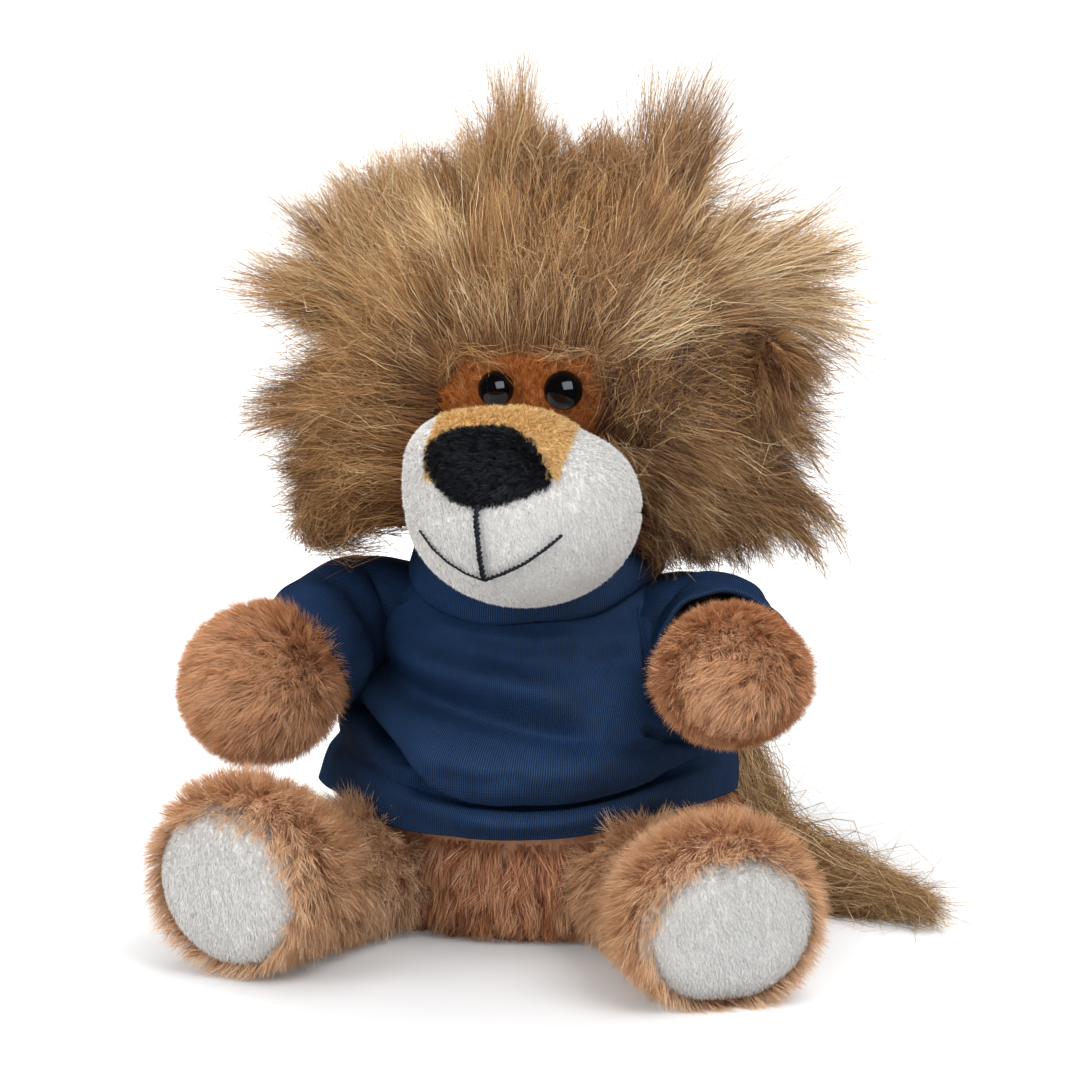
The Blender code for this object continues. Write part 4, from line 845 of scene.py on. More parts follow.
# Folds: a route in the picture, then the depth of the step or valley and its width in pixels
OVERHANG = ((352, 640), (356, 682), (361, 697), (382, 724), (412, 757), (434, 779), (474, 792),
            (520, 797), (565, 795), (611, 785), (657, 768), (719, 754))
STEPS = ((OVERHANG, 3.3 * MM, 4.0),)
VALLEYS = (
    (((345, 640), (375, 668), (412, 690), (474, 713), (550, 731), (620, 744)), 4.6 * MM, 16.0),
    (((640, 728), (662, 736), (690, 742), (722, 742)), 2.3 * MM, 5.0),
    (((600, 735), (650, 752), (700, 744)), 1.4 * MM, 12.0),
    (((352, 690), (362, 715), (385, 745), (412, 775)), 2.2 * MM, 12.0),
    (((358, 706), (376, 738), (404, 766), (436, 786)), 2.4 * MM, 6.0),
    (((565, 640), (642, 618)), 0.8 * MM, 12.0),
    (((410, 596), (385, 604), (365, 622), (356, 650), (354, 690)), 1.5 * MM, 3.2),
    (((640, 600), (646, 640), (650, 690)), 1.4 * MM, 3.2),
    (((650, 690), (668, 700), (690, 700)), 1.8 * MM, 8.0),
    (((470, 650), (540, 668), (610, 662), (640, 650)), 1.5 * MM, 15.0),
    (((330, 720), (365, 748), (410, 780)), 0.9 * MM, 7.0),
    (((620, 752), (670, 742), (712, 730)), 0.7 * MM, 5.0),
    (((440, 770), (480, 778), (530, 772)), 0.6 * MM, 6.0),
)
RIDGES = (
    (((385, 640), (440, 672), (520, 692), (600, 705)), 3.2 * MM, 19.0),
    (((420, 618), (470, 636), (540, 644), (620, 632)), 1.3 * MM, 10.0),
    (((400, 735), (440, 760), (500, 772), (580, 768), (650, 745)), 2.4 * MM, 16.0),
    (((440, 815), (500, 824), (560, 820), (640, 800)), 0.8 * MM, 9.0),
)


def folds(points, normals):
    """Points of the cloth moved out and in by its folds, on the side that faces the camera."""
    across, down = seen(points)
    facing = eased(((normals @ -LOOK) - 0.05) / 0.3)
    move = np.zeros(across.shape)
    for route, depth, width in STEPS:
        far, side, share = route_distance(across, down, route)
        signed = far * side
        ends = eased(share / 0.12) * eased((1 - share) / 0.12)
        rise = depth * np.exp(-np.maximum(-signed, 0) / (9 * width))
        fall = -depth * np.exp(-((np.maximum(signed, 0) / (3.2 * width)) ** 2))
        fall = fall + 0.35 * depth * np.exp(-(((signed - 28) / 12) ** 2))
        blend = eased(signed / width + 0.5)
        move += ends * (rise * (1 - blend) + fall * blend)
    for route, depth, width in VALLEYS:
        far, side, share = route_distance(across, down, route)
        ends = eased(share / 0.15) * eased((1 - share) / 0.15)
        move -= depth * np.exp(-((far / width) ** 2)) * ends
    for route, depth, width in RIDGES:
        far, side, share = route_distance(across, down, route)
        ends = eased(share / 0.25) * eased((1 - share) / 0.25)
        move += depth * np.exp(-((far / width) ** 2)) * ends
    return points + normals * (move * facing)[..., None]


def waves(points, seed, size, height):
    """A soft random relief of a real size."""
    rng = np.random.default_rng(seed)
    total = np.zeros(points.shape[:-1])
    for _ in range(14):
        way = unit(rng.normal(size=3)) * 2 * math.pi / (size * (0.6 + 0.9 * rng.random()))
        total += np.sin(points @ way + rng.random() * 6.28)
    return total * height / 3.7


def knit_material(name):
    """Fine jersey: wales run along the map's length, in real millimetres."""
    material, shader, nodes, links = blank(name, 0.7, 0.14, 0.0)
    coords = nodes.new("ShaderNodeUVMap")
    coords.uv_map = "Knit"
    parts = nodes.new("ShaderNodeSeparateXYZ")
    links.new(coords.outputs["UV"], parts.inputs["Vector"])

    def maths(kind, *values):
        node = nodes.new("ShaderNodeMath")
        node.operation = kind
        for slot, value in zip(node.inputs, values):
            if isinstance(value, (int, float)):
                slot.default_value = value
            else:
                links.new(value, slot)
        return node.outputs[0]

    wale = maths("MULTIPLY", parts.outputs["X"], 2 * math.pi * 1000 / 0.44)
    course = maths("MULTIPLY", parts.outputs["Y"], 2 * math.pi * 1000 / 0.36)
    rib = maths("ABSOLUTE", maths("SINE", maths("MULTIPLY", wale, 0.5)))
    slant = maths("MULTIPLY", rib, 2.2)
    loop = maths("SINE", maths("ADD", course, slant))
    loops = maths("MULTIPLY", maths("MULTIPLY", loop, 0.22), rib)
    height = maths("ADD", rib, loops)
    noise = nodes.new("ShaderNodeTexNoise")
    noise.inputs["Scale"].default_value = 260.0
    noise.inputs["Detail"].default_value = 5.0
    place = nodes.new("ShaderNodeTexCoord")
    links.new(place.outputs["Object"], noise.inputs["Vector"])
    # The colour follows the knit's relief: darker in the hollows between wales and loops, a painted shade,
    # and lighter on their raised tops, a painted light; the noise adds random tone.
    mixed = maths("ADD", maths("MULTIPLY", height, 0.6), maths("MULTIPLY", noise.outputs["Fac"], 0.16))
    ramp = ramp_node(nodes, [(0.05, (8, 17, 34)), (0.45, (19, 40, 70)), (0.9, (42, 74, 116))])
    links.new(mixed, ramp.inputs["Fac"])
    links.new(ramp.outputs["Color"], shader.inputs["Base Color"])
    relief = nodes.new("ShaderNodeBump")
    relief.inputs["Strength"].default_value = 0.55
    relief.inputs["Distance"].default_value = 0.15 * MM
    links.new(height, relief.inputs["Height"])
    links.new(relief.outputs["Normal"], shader.inputs["Normal"])
    return material


KNIT = knit_material("knit_jersey")


def knit_map(item, grid, closed=True):
    """Real distances round and along a grid, as the map that the knit follows."""
    mesh = item.data
    rows, columns = grid.shape[:2]
    around = np.linalg.norm(np.roll(grid, -1, 1) - grid, axis=-1).mean(0)
    along = np.linalg.norm(np.diff(grid, axis=0), axis=-1).mean(1)
    x = np.concatenate([[0], np.cumsum(around)])
    y = np.concatenate([[0], np.cumsum(along)])
    layer = mesh.uv_layers.get("OFBake")
    base = np.empty(len(mesh.loops) * 2, np.float32)
    layer.data.foreach_get("uv", base)
    base = (base.reshape(-1, 2) - 0.002) / 0.96
    wide = columns if closed else columns - 1
    real = np.stack([
        np.interp(base[:, 0] * wide, np.arange(len(x)), x),
        np.interp(base[:, 1] * (rows - 1), np.arange(rows), y),
    ], 1)
    extra = mesh.uv_layers.new(name="Knit")
    extra.data.foreach_set("uv", real.astype(np.float32).ravel())


# Body of the shirt
SHIRT_ROWS, SHIRT_COLUMNS = 170, 520
angles = circle(SHIRT_COLUMNS)
grid = np.empty((SHIRT_ROWS, SHIRT_COLUMNS, 3))
hem = np.array([hem_height(a) for a in angles])
for r, share in enumerate(np.linspace(0, 1, SHIRT_ROWS)):
    side_slack, front_slack = between(SHIRT_SLACK_SHARES, share)
    z = hem + (neck_height(angles) - hem) * share
    halves = np.array([torso_halves(v) for v in z])
    slack = SHIRT_SLACK * (side_slack + (front_slack - side_slack) * np.abs(np.sin(angles))) + 1.6 * MM
    grid[r, :, 0] = (halves[:, 0] + slack) * np.cos(angles)
    grid[r, :, 1] = (halves[:, 1] + slack) * np.sin(angles)
    grid[r, :, 2] = z
shift = eased(1 - (grid[..., 2] - 20 * MM) / (30 * MM))
grid[..., 0] -= 2.6 * MM * shift
normals = grid_normals(grid)
normals *= np.sign(np.sum(normals * (grid - (0, 0, 0.04)), -1).sum())
grid = grid + normals * waves(grid, 5, 16 * MM, 0.35 * MM)[..., None]
grid = folds(grid, normals)
turned = grid[:1] - normals[:1] * 0.9 * MM + (0, 0, 0.1 * MM)
tucked = grid[1:2] - normals[1:2] * 1.2 * MM + (0, 0, 3.0 * MM)
full = np.concatenate([tucked, turned, grid])
shirt = grid_object("shirt_body", full, KNIT)
knit_map(shirt, full)
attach(shirt, "torso")
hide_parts("shirt_front", "shirt_back")

# Collar: a folded band, as places out from the neck and up from its edge, in mm
BAND_PROFILE = (
    (0.3, 1.2), (-0.5, 0.1), (-0.3, -1.0), (0.6, -1.7), (2.2, -1.9), (5.0, -1.3), (7.6, 0.0), (9.4, 1.8),
    (10.4, 3.6), (10.6, 5.0), (10.2, 5.8), (9.2, 6.0), (7.0, 5.2), (4.0, 4.0), (0.3, 3.4),
)
rows = []
angles = circle(420)
neck_edge = neck_height(angles)
halves = np.array([torso_halves(z) for z in neck_edge])
wide = halves[:, 0] + SHIRT_SLACK * 0.28 + 1.6 * MM
deep = halves[:, 1] + SHIRT_SLACK * 0.30 + 1.6 * MM
profile = list(BAND_PROFILE)
fine = np.linspace(0, len(profile) - 1, 46)
rise = np.interp(fine, np.arange(len(profile)), [p[0] for p in profile]) * MM
inset = np.interp(fine, np.arange(len(profile)), [p[1] for p in profile]) * MM
band = np.stack([
    (wide[None] - inset[:, None]) * np.cos(angles)[None],
    (deep[None] - inset[:, None]) * np.sin(angles)[None],
    neck_edge[None] + rise[:, None],
], -1)
normals = grid_normals(band)
normals *= np.sign(np.sum(normals[:20] * (band[:20] - (0, 0, 0.07)), -1).sum())
band = band + normals * waves(band, 8, 18 * MM, 0.35 * MM)[..., None]
collar = grid_object("shirt_neckband", band, KNIT)
knit_map(collar, band)
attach(collar, "torso")
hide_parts("shirt_collar")

# Sleeves
for side, sign in SIDES:
    axis = arm_axis(side, sign)
    place = SHOULDER * (sign, 1, 1)
    ways = [np.array((sign, -0.1, -0.05)), np.array((sign, -0.25, -0.08)),
            np.array((sign * 0.75, -0.7, -0.1)), axis, axis]
    middles = [np.array((sign * 20, -1, 62)) * MM, np.array((sign * 29, -3, 63)) * MM, place,
               place + axis * 6 * MM, place + axis * 12 * MM]
    radii = [10.5, 12.0, 12.8, 12.9, 13.2]
    if side == "right":
        ways += [unit(axis + CUFF_OUT[side] * 0.6), CUFF_OUT[side]]
        middles += [place * 0.3 + CUFF_PLACE[side] * 0.7, CUFF_PLACE[side] + CUFF_OUT[side] * 1.5 * MM]
        radii += [13.2, 13.8]
    else:
        ways += [axis, axis]
        middles += [place + axis * 17 * MM, place + axis * 21 * MM]
        radii += [13.9, 14.6]
    radii = np.array(radii) * MM
    rows = 90
    fine = np.linspace(0, len(ways) - 1, rows)
    known = np.arange(len(ways))
    angle = circle(150)
    grid = []
    for t in fine:
        way = unit(np.array([np.interp(t, known, [w[i] for w in ways]) for i in range(3)]))
        middle = np.array([np.interp(t, known, [m[i] for m in middles]) for i in range(3)])
        radius = np.interp(t, known, radii)
        across, up = frame_of(way)
        grid.append(middle + radius * (np.cos(angle)[:, None] * across + np.sin(angle)[:, None] * up))
    grid = np.array(grid)
    kernel = np.array((1, 4, 6, 4, 1)) / 16
    for _ in range(6):
        padded_rows = np.concatenate([grid[:1], grid[:1], grid, grid[-1:], grid[-1:]])
        grid = sum(w * padded_rows[k:k + rows] for k, w in enumerate(kernel))
    normals = grid_normals(grid)
    normals *= np.sign(np.sum(normals * (grid - grid.mean(1, keepdims=True)), -1).sum())
    grid = grid + normals * waves(grid, 9, 12 * MM, 0.5 * MM)[..., None]
    cuff = grid[-1:] - normals[-1:] * 0.9 * MM
    under = grid[-6:-5] - normals[-6:-5] * 1.3 * MM
    full = np.concatenate([grid, cuff, under])
    sleeve = grid_object("shirt_sleeve_" + side, full, KNIT, flip=sign > 0)
    knit_map(sleeve, full)
    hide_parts("sleeve_" + side)
    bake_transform(sleeve)

# Head

rng = np.random.default_rng(41)
lift = np.linspace(-math.pi / 2 + 0.02, math.pi / 2 - 0.02, 60)
turn = circle(96)
grid = ellipsoid_point(HEAD, HEAD_HALVES, lift[:, None], turn[None], 0.35 * MM)
scalp = grid_object("head_bag", grid, SKIN_BROWN, caps=(True, True))
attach(scalp, "head")
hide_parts("mane")

# Face patch
FACE_PILE = 1.5 * MM
FACE_HAIRS = 20000
lift = np.radians(np.linspace(-24, 13, 40))
turn = np.radians(np.linspace(-37, 25, 70))
grid = ellipsoid_point(HEAD, HEAD_HALVES, lift[:, None], turn[None], 0.9 * MM)
face = grid_object("face_cloth", grid, SKIN_ORANGE, closed=False)
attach(face, "head")
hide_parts("face_panel")
normals = unit((grid - HEAD) / HEAD_HALVES**2)
roots, outs, along, row, column = scatter(grid, normals, FACE_HAIRS, rng, closed=False)
comb = np.array((0, 0, 1.0)) + 0.4 * np.sign(column - 0.5)[:, None] * (1.0, 0, 0)
plush("face_pile", roots, outs, comb, PILE_ORANGE, "head", rng, FACE_PILE,
      0.12 * MM, lift=0.4, clump_count=2200, pull=0.35, curl=0.35, tone=0.5, tone_clump=0.2,
      tone_strand=0.14, steps=3)

# Muzzle
MUZZLE_PILE = 0.85 * MM
MUZZLE_HAIRS = 96000
MUZZLE_TRIES = 140000
over = np.radians(np.linspace(-168, 168, 166))
turn = np.radians(np.linspace(-89, 89, 110))


# The muzzle's middle and half size in the picture, in pixels
MUZZLE_MIDDLE, MUZZLE_REACH = (521.5, 508.0), (119.0, 100.0)


def muzzle_surface(over, turn, offset):
    """Points of the muzzle at angles over it and to its left."""
    halves = MUZZLE_HALVES + offset
    points = MUZZLE + np.stack(
        [halves[0] * np.sin(turn) + 0 * over, -halves[1] * np.cos(turn) * np.cos(over),
         halves[2] * np.cos(turn) * np.sin(over)], -1)
    across, down = seen(points)
    wide, high = (across - MUZZLE_MIDDLE[0]) / MUZZLE_REACH[0], (MUZZLE_MIDDLE[1] - down) / MUZZLE_REACH[1]
    far = np.hypot(wide, high)
    angle = np.degrees(np.arctan2(high, wide))
    corner = np.exp(-(((angle - 137) / 26) ** 2)) * 0.18 - np.exp(-(((angle - 56) / 18) ** 2)) * 0.07
    grown = corner * eased((far - 0.45) / 0.5)
    move = (wide * MUZZLE_REACH[0])[..., None] * RIGHT + (high * MUZZLE_REACH[1])[..., None] * UP
    return points + move * (grown * PIXEL)[..., None]


grid = muzzle_surface(over[:, None], turn[None], -0.3 * MM)
muzzle = grid_object("muzzle_bag", grid, SKIN_WHITE, closed=False)
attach(muzzle, "head")
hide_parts("muzzle_skin")
normals = grid_normals(grid, closed=False)
normals *= np.sign(np.sum(normals * (grid - MUZZLE), -1).sum())
rows, columns = grid.shape[:2]
corner = np.arange(rows * columns).reshape(rows, columns)
quads = np.stack([corner[:-1, :-1], corner[:-1, 1:], corner[1:, 1:], corner[1:, :-1]], -1).reshape(-1, 4)
muzzle_tree = bvhtree.BVHTree.FromPolygons(grid.reshape(-1, 3).tolist(), quads.tolist())


def on_muzzle(across, down, offset):
    """Points on the muzzle at places in the picture, and the way out of it there."""
    across, down = np.broadcast_arrays(across, down)
    spots, outs = np.empty(across.shape + (3,)), np.empty(across.shape + (3,))
    ways = unit(placed(across, down, 0.0) - STAND)
    for place in np.ndindex(across.shape):
        met = muzzle_tree.ray_cast(Vector(STAND), Vector(ways[place]))
        if met[0] is None:
            near = STAND + ways[place] * ((MUZZLE - STAND) @ ways[place])
            met = muzzle_tree.find_nearest(Vector(near))
        out = np.array(met[1])
        outs[place] = out if out @ LOOK < 0 else -out
        spots[place] = np.array(met[0]) + outs[place] * offset
    return spots, outs


def bridge_left(down):
    """Where the bridge begins in the picture at a height."""
    return np.interp(down, (402, 410, 430, 447, 470), (450, 446, 434, 427, 426))


def bridge_right(down):
    """Where the bridge ends in the picture at a height."""
    return np.interp(down, (402, 425, 440, 477), (582, 576, 571, 558))


def bridge_edge(points):
    """How far inside the bridge's outline places in the picture lie, in pixels."""
    across, down = seen(points)
    return np.minimum(np.minimum(across - bridge_left(down), bridge_right(down) - across), 480 - down)


roots, outs, along, row, column = scatter(grid, normals, MUZZLE_TRIES, rng, closed=False)
on_bridge = (bridge_edge(roots) > 0) & (roots[:, 2] > MUZZLE[2] + 2 * MM) & (outs @ LOOK < 0.3)
in_head = np.sum(((roots - HEAD) / (HEAD_HALVES + 0.5 * MM)) ** 2, 1) < 1
on_bridge |= in_head
shown = np.flatnonzero(~on_bridge)[:MUZZLE_HAIRS]
comb = np.array((0.3, 0, -1.0)) + 0 * outs
plush("muzzle_pile", roots[shown], outs[shown], comb[shown], PILE_WHITE, "head", rng,
      MUZZLE_PILE, 0.13 * MM, lift=0.4, clump_count=9000, pull=0.08, curl=0.2, tone=0.5,
      tone_clump=0.05, tone_strand=0.06, steps=3, jitter=0.12, mess=0.2)
downs = np.linspace(404, 479, 40)[:, None]
shares = np.linspace(0, 1, 60)[None]
bridge_grid, bridge_outs = on_muzzle(
    bridge_left(downs) + (bridge_right(downs) - bridge_left(downs)) * shares, downs + 0 * shares, 0.3 * MM
)
bridge = grid_object("bridge_cloth", bridge_grid, SKIN_OCHRE, closed=False)
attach(bridge, "head")
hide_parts("muzzle_bridge")
roots, outs, along, row, column = scatter(bridge_grid, bridge_outs, 15000, rng, closed=False)
comb = np.array((0.2, 0, -1.0)) + 0 * outs
plush("bridge_pile", roots, outs, comb, PILE_OCHRE, "head", rng,
      1.2 * MM, 0.12 * MM, lift=0.36, clump_count=2600, pull=0.2, curl=0.3, tone=0.5,
      tone_clump=0.08, tone_strand=0.1, steps=3)

# Nose: an outline in the picture, laid on the muzzle and padded
NOSE_OUTLINE = np.array((
    (428, 462), (431, 447), (442, 437), (460, 431), (480, 429), (500, 429), (517, 434), (531, 446),
    (542, 460), (549, 475), (547, 485), (532, 492), (512, 499), (494, 504), (478, 506), (460, 501),
    (446, 491), (434, 477),
), float)
NOSE_MIDDLE = np.array((487.0, 466.0))


def smooth_loop(outline, count):
    """Points on a smooth closed line through an outline."""
    t = np.linspace(0, len(outline), count, endpoint=False)
    k = np.floor(t).astype(int)
    f = (t - k)[:, None]
    a, b, c, d = (outline[(k + n) % len(outline)] for n in (-1, 0, 1, 2))
    return 0.5 * (2 * b + (c - a) * f + (2 * a - 5 * b + 4 * c - d) * f**2 + (3 * b - a - 3 * c + d) * f**3)


loop = smooth_loop(NOSE_OUTLINE, 110)
rows = []
for share in np.linspace(0.02, 1.0, 28):
    flat = NOSE_MIDDLE + (loop - NOSE_MIDDLE) * share
    spot, _ = on_muzzle(flat[:, 0], flat[:, 1], 0.0)
    out = unit((spot - MUZZLE) / MUZZLE_HALVES**2)
    rows.append(spot + out * (2.4 * MM * (1 - share**3) + 0.1 * MM))
grid = np.array(rows)
nose = grid_object("nose_pad", grid, SKIN_BLACK, caps=(True, False))
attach(nose, "head")
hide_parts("nose")
nose_out = unit(grid[0].mean(0) - MUZZLE)
normals = grid_normals(grid)
normals *= np.sign((normals @ nose_out).sum())
roots, outs, along, row, column = scatter(grid, normals, 22000, rng)
comb = -0.9 * RIGHT - 0.35 * UP + along * 0.5 * eased((row - 0.75) / 0.25)[:, None]
plush("nose_pile", roots, outs, comb, PILE_BLACK, "head", rng, 1.5 * MM,
      0.13 * MM, lift=0.35, clump_count=1300, pull=0.45, curl=0.35, tone=0.4, tone_clump=0.22,
      tone_strand=0.15, steps=3)

# Mouth: stitches along lines on the muzzle
MOUTH_LINES = (
    (((477, 505), (476, 520), (478, 540), (480, 560), (484, 580)), 0.42 * MM, 2.6, 0.9 * MM),
    (((484, 580), (504, 573), (525, 563), (545, 549), (562, 535)), 0.34 * MM, 1.3, 0.8 * MM),
    (((484, 580), (466, 573), (448, 562), (433, 548), (420, 530)), 0.24 * MM, 0.7, 0.45 * MM),
)
rng = np.random.default_rng(51)
points, starts, corners = [], [], []
for route, radius, zigzag, proud in MOUTH_LINES:
    route = np.array(route, float)
    length = np.concatenate([[0], np.cumsum(np.hypot(*np.diff(route, axis=0).T))])
    count = int(length[-1] / 2.3)
    for k in range(count):
        ends = []
        for t in (k / count, (k + 1.35) / count):
            at = min(t, 1) * length[-1]
            x, y = np.interp(at, length, route[:, 0]), np.interp(at, length, route[:, 1])
            ends.append((x, y))
        (x0, y0), (x1, y1) = ends
        skew = zigzag * (0.7 + 0.6 * rng.random()) * (1 if k % 2 else -1)
        long = math.hypot(x1 - x0, y1 - y0) or 1
        nx, ny = -(y1 - y0) / long * skew, (x1 - x0) / long * skew
        x0, y0, x1, y1 = x0 + nx, y0 + ny, x1 - nx, y1 - ny
        a, _ = hit(np.array(x0), np.array(y0), MUZZLE, MUZZLE_HALVES + proud)
        b, _ = hit(np.array(x1), np.array(y1), MUZZLE, MUZZLE_HALVES + proud)
        out = unit((a - MUZZLE) / MUZZLE_HALVES**2)
        along = unit(b - a)
        side_way = np.cross(along, out)
        base = len(points)
        for t, size in ((0, 0.25), (0.15, 0.85), (0.5, 1.0), (0.85, 0.85), (1, 0.25)):
            for angle in circle(8):
                r = radius * size * (0.9 + 0.2 * rng.random())
                rise = r * math.sin(angle) + 0.25 * MM * math.sin(t * math.pi)
                points.append(a + (b - a) * t + side_way * r * math.cos(angle) + out * rise)
        for row in range(4):
            for c in range(8):
                d = (c + 1) % 8
                starts.append(len(corners))
                first = base + row * 8
                corners += [first + c, first + d, first + 8 + d, first + 8 + c]
        for row, order in ((0, range(7, -1, -1)), (4, range(8))):
            starts.append(len(corners))
            corners += [base + row * 8 + c for c in order]
mouth = mesh_object("mouth_thread", np.array(points), starts, corners, THREAD)
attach(mouth, "head")
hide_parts("mouth_stitching")

# Eyes
for side, across, down, radius in (("right", 496.5, 388.5, 3.8), ("left", 563.5, 390.0, 4.1)):
    spot, _ = hit(np.array(across), np.array(down), HEAD, HEAD_HALVES + 2.0 * MM)
    out = unit(unit((spot - HEAD) / HEAD_HALVES**2) * 0.6 - LOOK * 0.4)
    a_way, u_way = frame_of(out)
    angle = circle(48)
    rows = []
    for tilt in np.radians(np.linspace(-20, 89, 30)):
        ring = radius * MM * math.cos(tilt)
        round_spot = np.cos(angle)[:, None] * a_way + np.sin(angle)[:, None] * u_way
        rows.append(spot + out * (0.4 * MM + 3.6 * MM * math.sin(tilt)) + ring * round_spot)
    eye = grid_object("eye_dome_" + side, np.array(rows), EYE_BLACK, caps=(True, True), flip=True)
    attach(eye, "head")
    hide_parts("eye_" + side)

# Ears: small padded pieces with fur, deep in the mane
for side, sign in SIDES:
    rng = np.random.default_rng(55 if side == "left" else 56)
    place = HEAD + np.array((sign * 38.0, 2.0, -1.0)) * MM
    halves = np.array((8.6, 3.0, 8.6)) * MM
    lift = np.linspace(-math.pi / 2 + 0.04, math.pi / 2 - 0.04, 26)
    grid = ellipsoid_point(place, halves, lift[:, None], circle(36)[None], 0.0)
    outwards = unit((grid - place) / halves**2)
    away = (grid - HEAD) / (HEAD_HALVES + 0.5 * MM)
    held = np.maximum(np.linalg.norm(away, axis=-1, keepdims=True), 1.0)
    grid = HEAD + away / np.linalg.norm(away, axis=-1, keepdims=True) * held * (HEAD_HALVES + 0.5 * MM)
    ear = grid_object("ear_pad_" + side, grid, SKIN_TAN, caps=(True, True))
    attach(ear, "head")
    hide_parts("ear_" + side)
    roots, outs, along, row, column = scatter(grid, outwards, 4000, rng)
    comb = np.array((0.2 * sign, 0, -0.4)) + 0 * outs
    plush("ear_fur_" + side, roots, outs, comb, FUR_BROWN, "head", rng, 6.0 * MM,
          0.15 * MM, lift=0.6, clump_count=240, pull=0.5, curl=0.3, tone=0.34, tone_clump=0.1)

# Mane

# Each guide is a way for the hair in the picture: root, two points on it, and tip
GUIDES = np.array((
    (432, 548, 412, 552, 388, 552, 372, 542),
    (416, 528, 385, 538, 350, 550, 330, 541),
    (409, 507, 370, 522, 325, 537, 303, 528),
    (405, 485, 360, 494, 318, 507, 295, 512),
    (405, 465, 350, 470, 305, 480, 285, 488),
    (408, 450, 345, 450, 300, 450, 270, 455),
    (412, 435, 345, 428, 290, 426, 244, 430),
    (420, 418, 350, 405, 290, 398, 248, 400),
    (428, 402, 360, 385, 310, 378, 268, 384),
    (435, 390, 375, 365, 330, 354, 300, 350),
    (436, 378, 370, 345, 310, 318, 238, 292),
    (438, 366, 375, 325, 320, 290, 240, 262),
    (440, 358, 385, 310, 330, 265, 286, 212),
    (445, 351, 395, 295, 345, 240, 308, 190),
    (452, 347, 405, 285, 365, 220, 336, 160),
    (462, 345, 420, 275, 385, 205, 366, 148),
    (472, 343, 435, 270, 405, 195, 412, 118),
    (482, 343, 450, 260, 430, 190, 428, 146),
    (492, 342, 468, 255, 455, 180, 462, 126),
    (503, 342, 485, 250, 487, 150, 498, 76),
    (512, 342, 500, 250, 503, 150, 505, 54),
    (522, 342, 515, 250, 520, 160, 525, 100),
    (534, 342, 532, 250, 540, 175, 550, 128),
    (546, 342, 550, 255, 565, 180, 580, 136),
    (556, 342, 570, 255, 590, 180, 603, 122),
    (566, 342, 588, 258, 615, 190, 625, 148),
    (576, 341, 605, 265, 640, 190, 655, 126),
    (585, 341, 620, 265, 662, 180, 688, 68),
    (592, 341, 635, 265, 678, 180, 718, 88),
    (598, 341, 645, 270, 685, 210, 724, 124),
    (603, 342, 655, 280, 695, 245, 712, 228),
    (606, 345, 665, 290, 715, 245, 775, 214),
    (608, 348, 670, 300, 745, 258, 868, 238),
    (610, 352, 675, 310, 760, 275, 850, 262),
    (611, 356, 680, 318, 775, 290, 884, 322),
    (612, 362, 680, 325, 770, 312, 856, 342),
    (613, 372, 670, 345, 740, 350, 815, 378),
    (614, 384, 670, 365, 745, 375, 818, 420),
    (615, 396, 675, 385, 755, 400, 834, 468),
    (618, 408, 680, 405, 760, 430, 812, 492),
    (622, 420, 690, 425, 765, 460, 838, 556),
    (628, 435, 690, 445, 750, 490, 800, 540),
    (634, 450, 695, 470, 745, 510, 775, 552),
    (638, 470, 690, 490, 725, 530, 750, 562),
    (640, 495, 680, 515, 705, 545, 715, 566),
    (640, 520, 665, 540, 685, 562, 690, 574),
    (636, 545, 650, 555, 662, 565, 668, 572),
), float)
TUFTS = np.array((1.0, 3.2, 6.4, 10.6, 13.0, 15.8, 17.5, 20.0, 23.8, 27.6, 30.4, 32.4, 34.4,
                  36.4, 38.2, 40.2, 42.0, 44.0, 45.5))
GUIDE_COUNT = len(GUIDES)
HEAD_DEPTH = (HEAD - AIM) @ LOOK


def guide_value(index, column):
    """A column of the guides at a place among them."""
    return np.interp(index, np.arange(GUIDE_COUNT), GUIDES[:, column])


def mane_controls(index, polar, rng_tip):
    """Four control points of a hair by its place among the guides and how far back its root is."""
    nearest = TUFTS[np.abs(index[:, None] - TUFTS[None]).argmin(1)]
    towards = nearest - index
    at_two, at_tip = index + towards * 0.35, index + towards * rng_tip
    root_x, root_y = guide_value(index, 0), guide_value(index, 1)
    front, _ = hit(root_x, root_y, HEAD, HEAD_HALVES + 0.5 * MM)
    head_x, head_y = seen(HEAD[None])
    edge_x, edge_y = guide_value(index, 4) - head_x, guide_value(index, 5) - head_y
    edge_way = unit(np.stack([edge_x, edge_y], 1))
    rim = HEAD + 35 * MM * (edge_way[:, :1] * RIGHT - edge_way[:, 1:] * UP)
    start_way, end_way = unit(front - HEAD), unit(rim - HEAD)
    t = np.clip(polar / 0.55, 0, 1)[:, None]
    beyond = np.clip((polar - 0.55) / 0.45, 0, 1)[:, None]
    way = unit(start_way * (1 - t) + end_way * t + LOOK * 0.9 * beyond)
    root = HEAD + way * (HEAD_HALVES + 0.3 * MM)
    one = placed(guide_value(index, 2), guide_value(index, 3), HEAD_DEPTH - 29 * MM + 0 * index)
    two = placed(guide_value(at_two, 4), guide_value(at_two, 5), HEAD_DEPTH - 9 * MM + 0 * index)
    tip = placed(guide_value(at_tip, 6), guide_value(at_tip, 7), HEAD_DEPTH - 2 * MM + 0 * index)
    layer = polar[:, None]
    tip = tip + LOOK * 20 * MM * layer
    tip = tip + (HEAD - tip) * 0.14 * layer * rng_tip[:, None]
    straight_one = root + way * 9 * MM + (tip - root) * 0.2
    straight_two = root + (tip - root) * 0.62 + way * 5 * MM
    w = eased(layer * 1.5)
    one = one * (1 - w) + straight_one * w
    two = two * (1 - w) + straight_two * w
    return root, one, two, tip


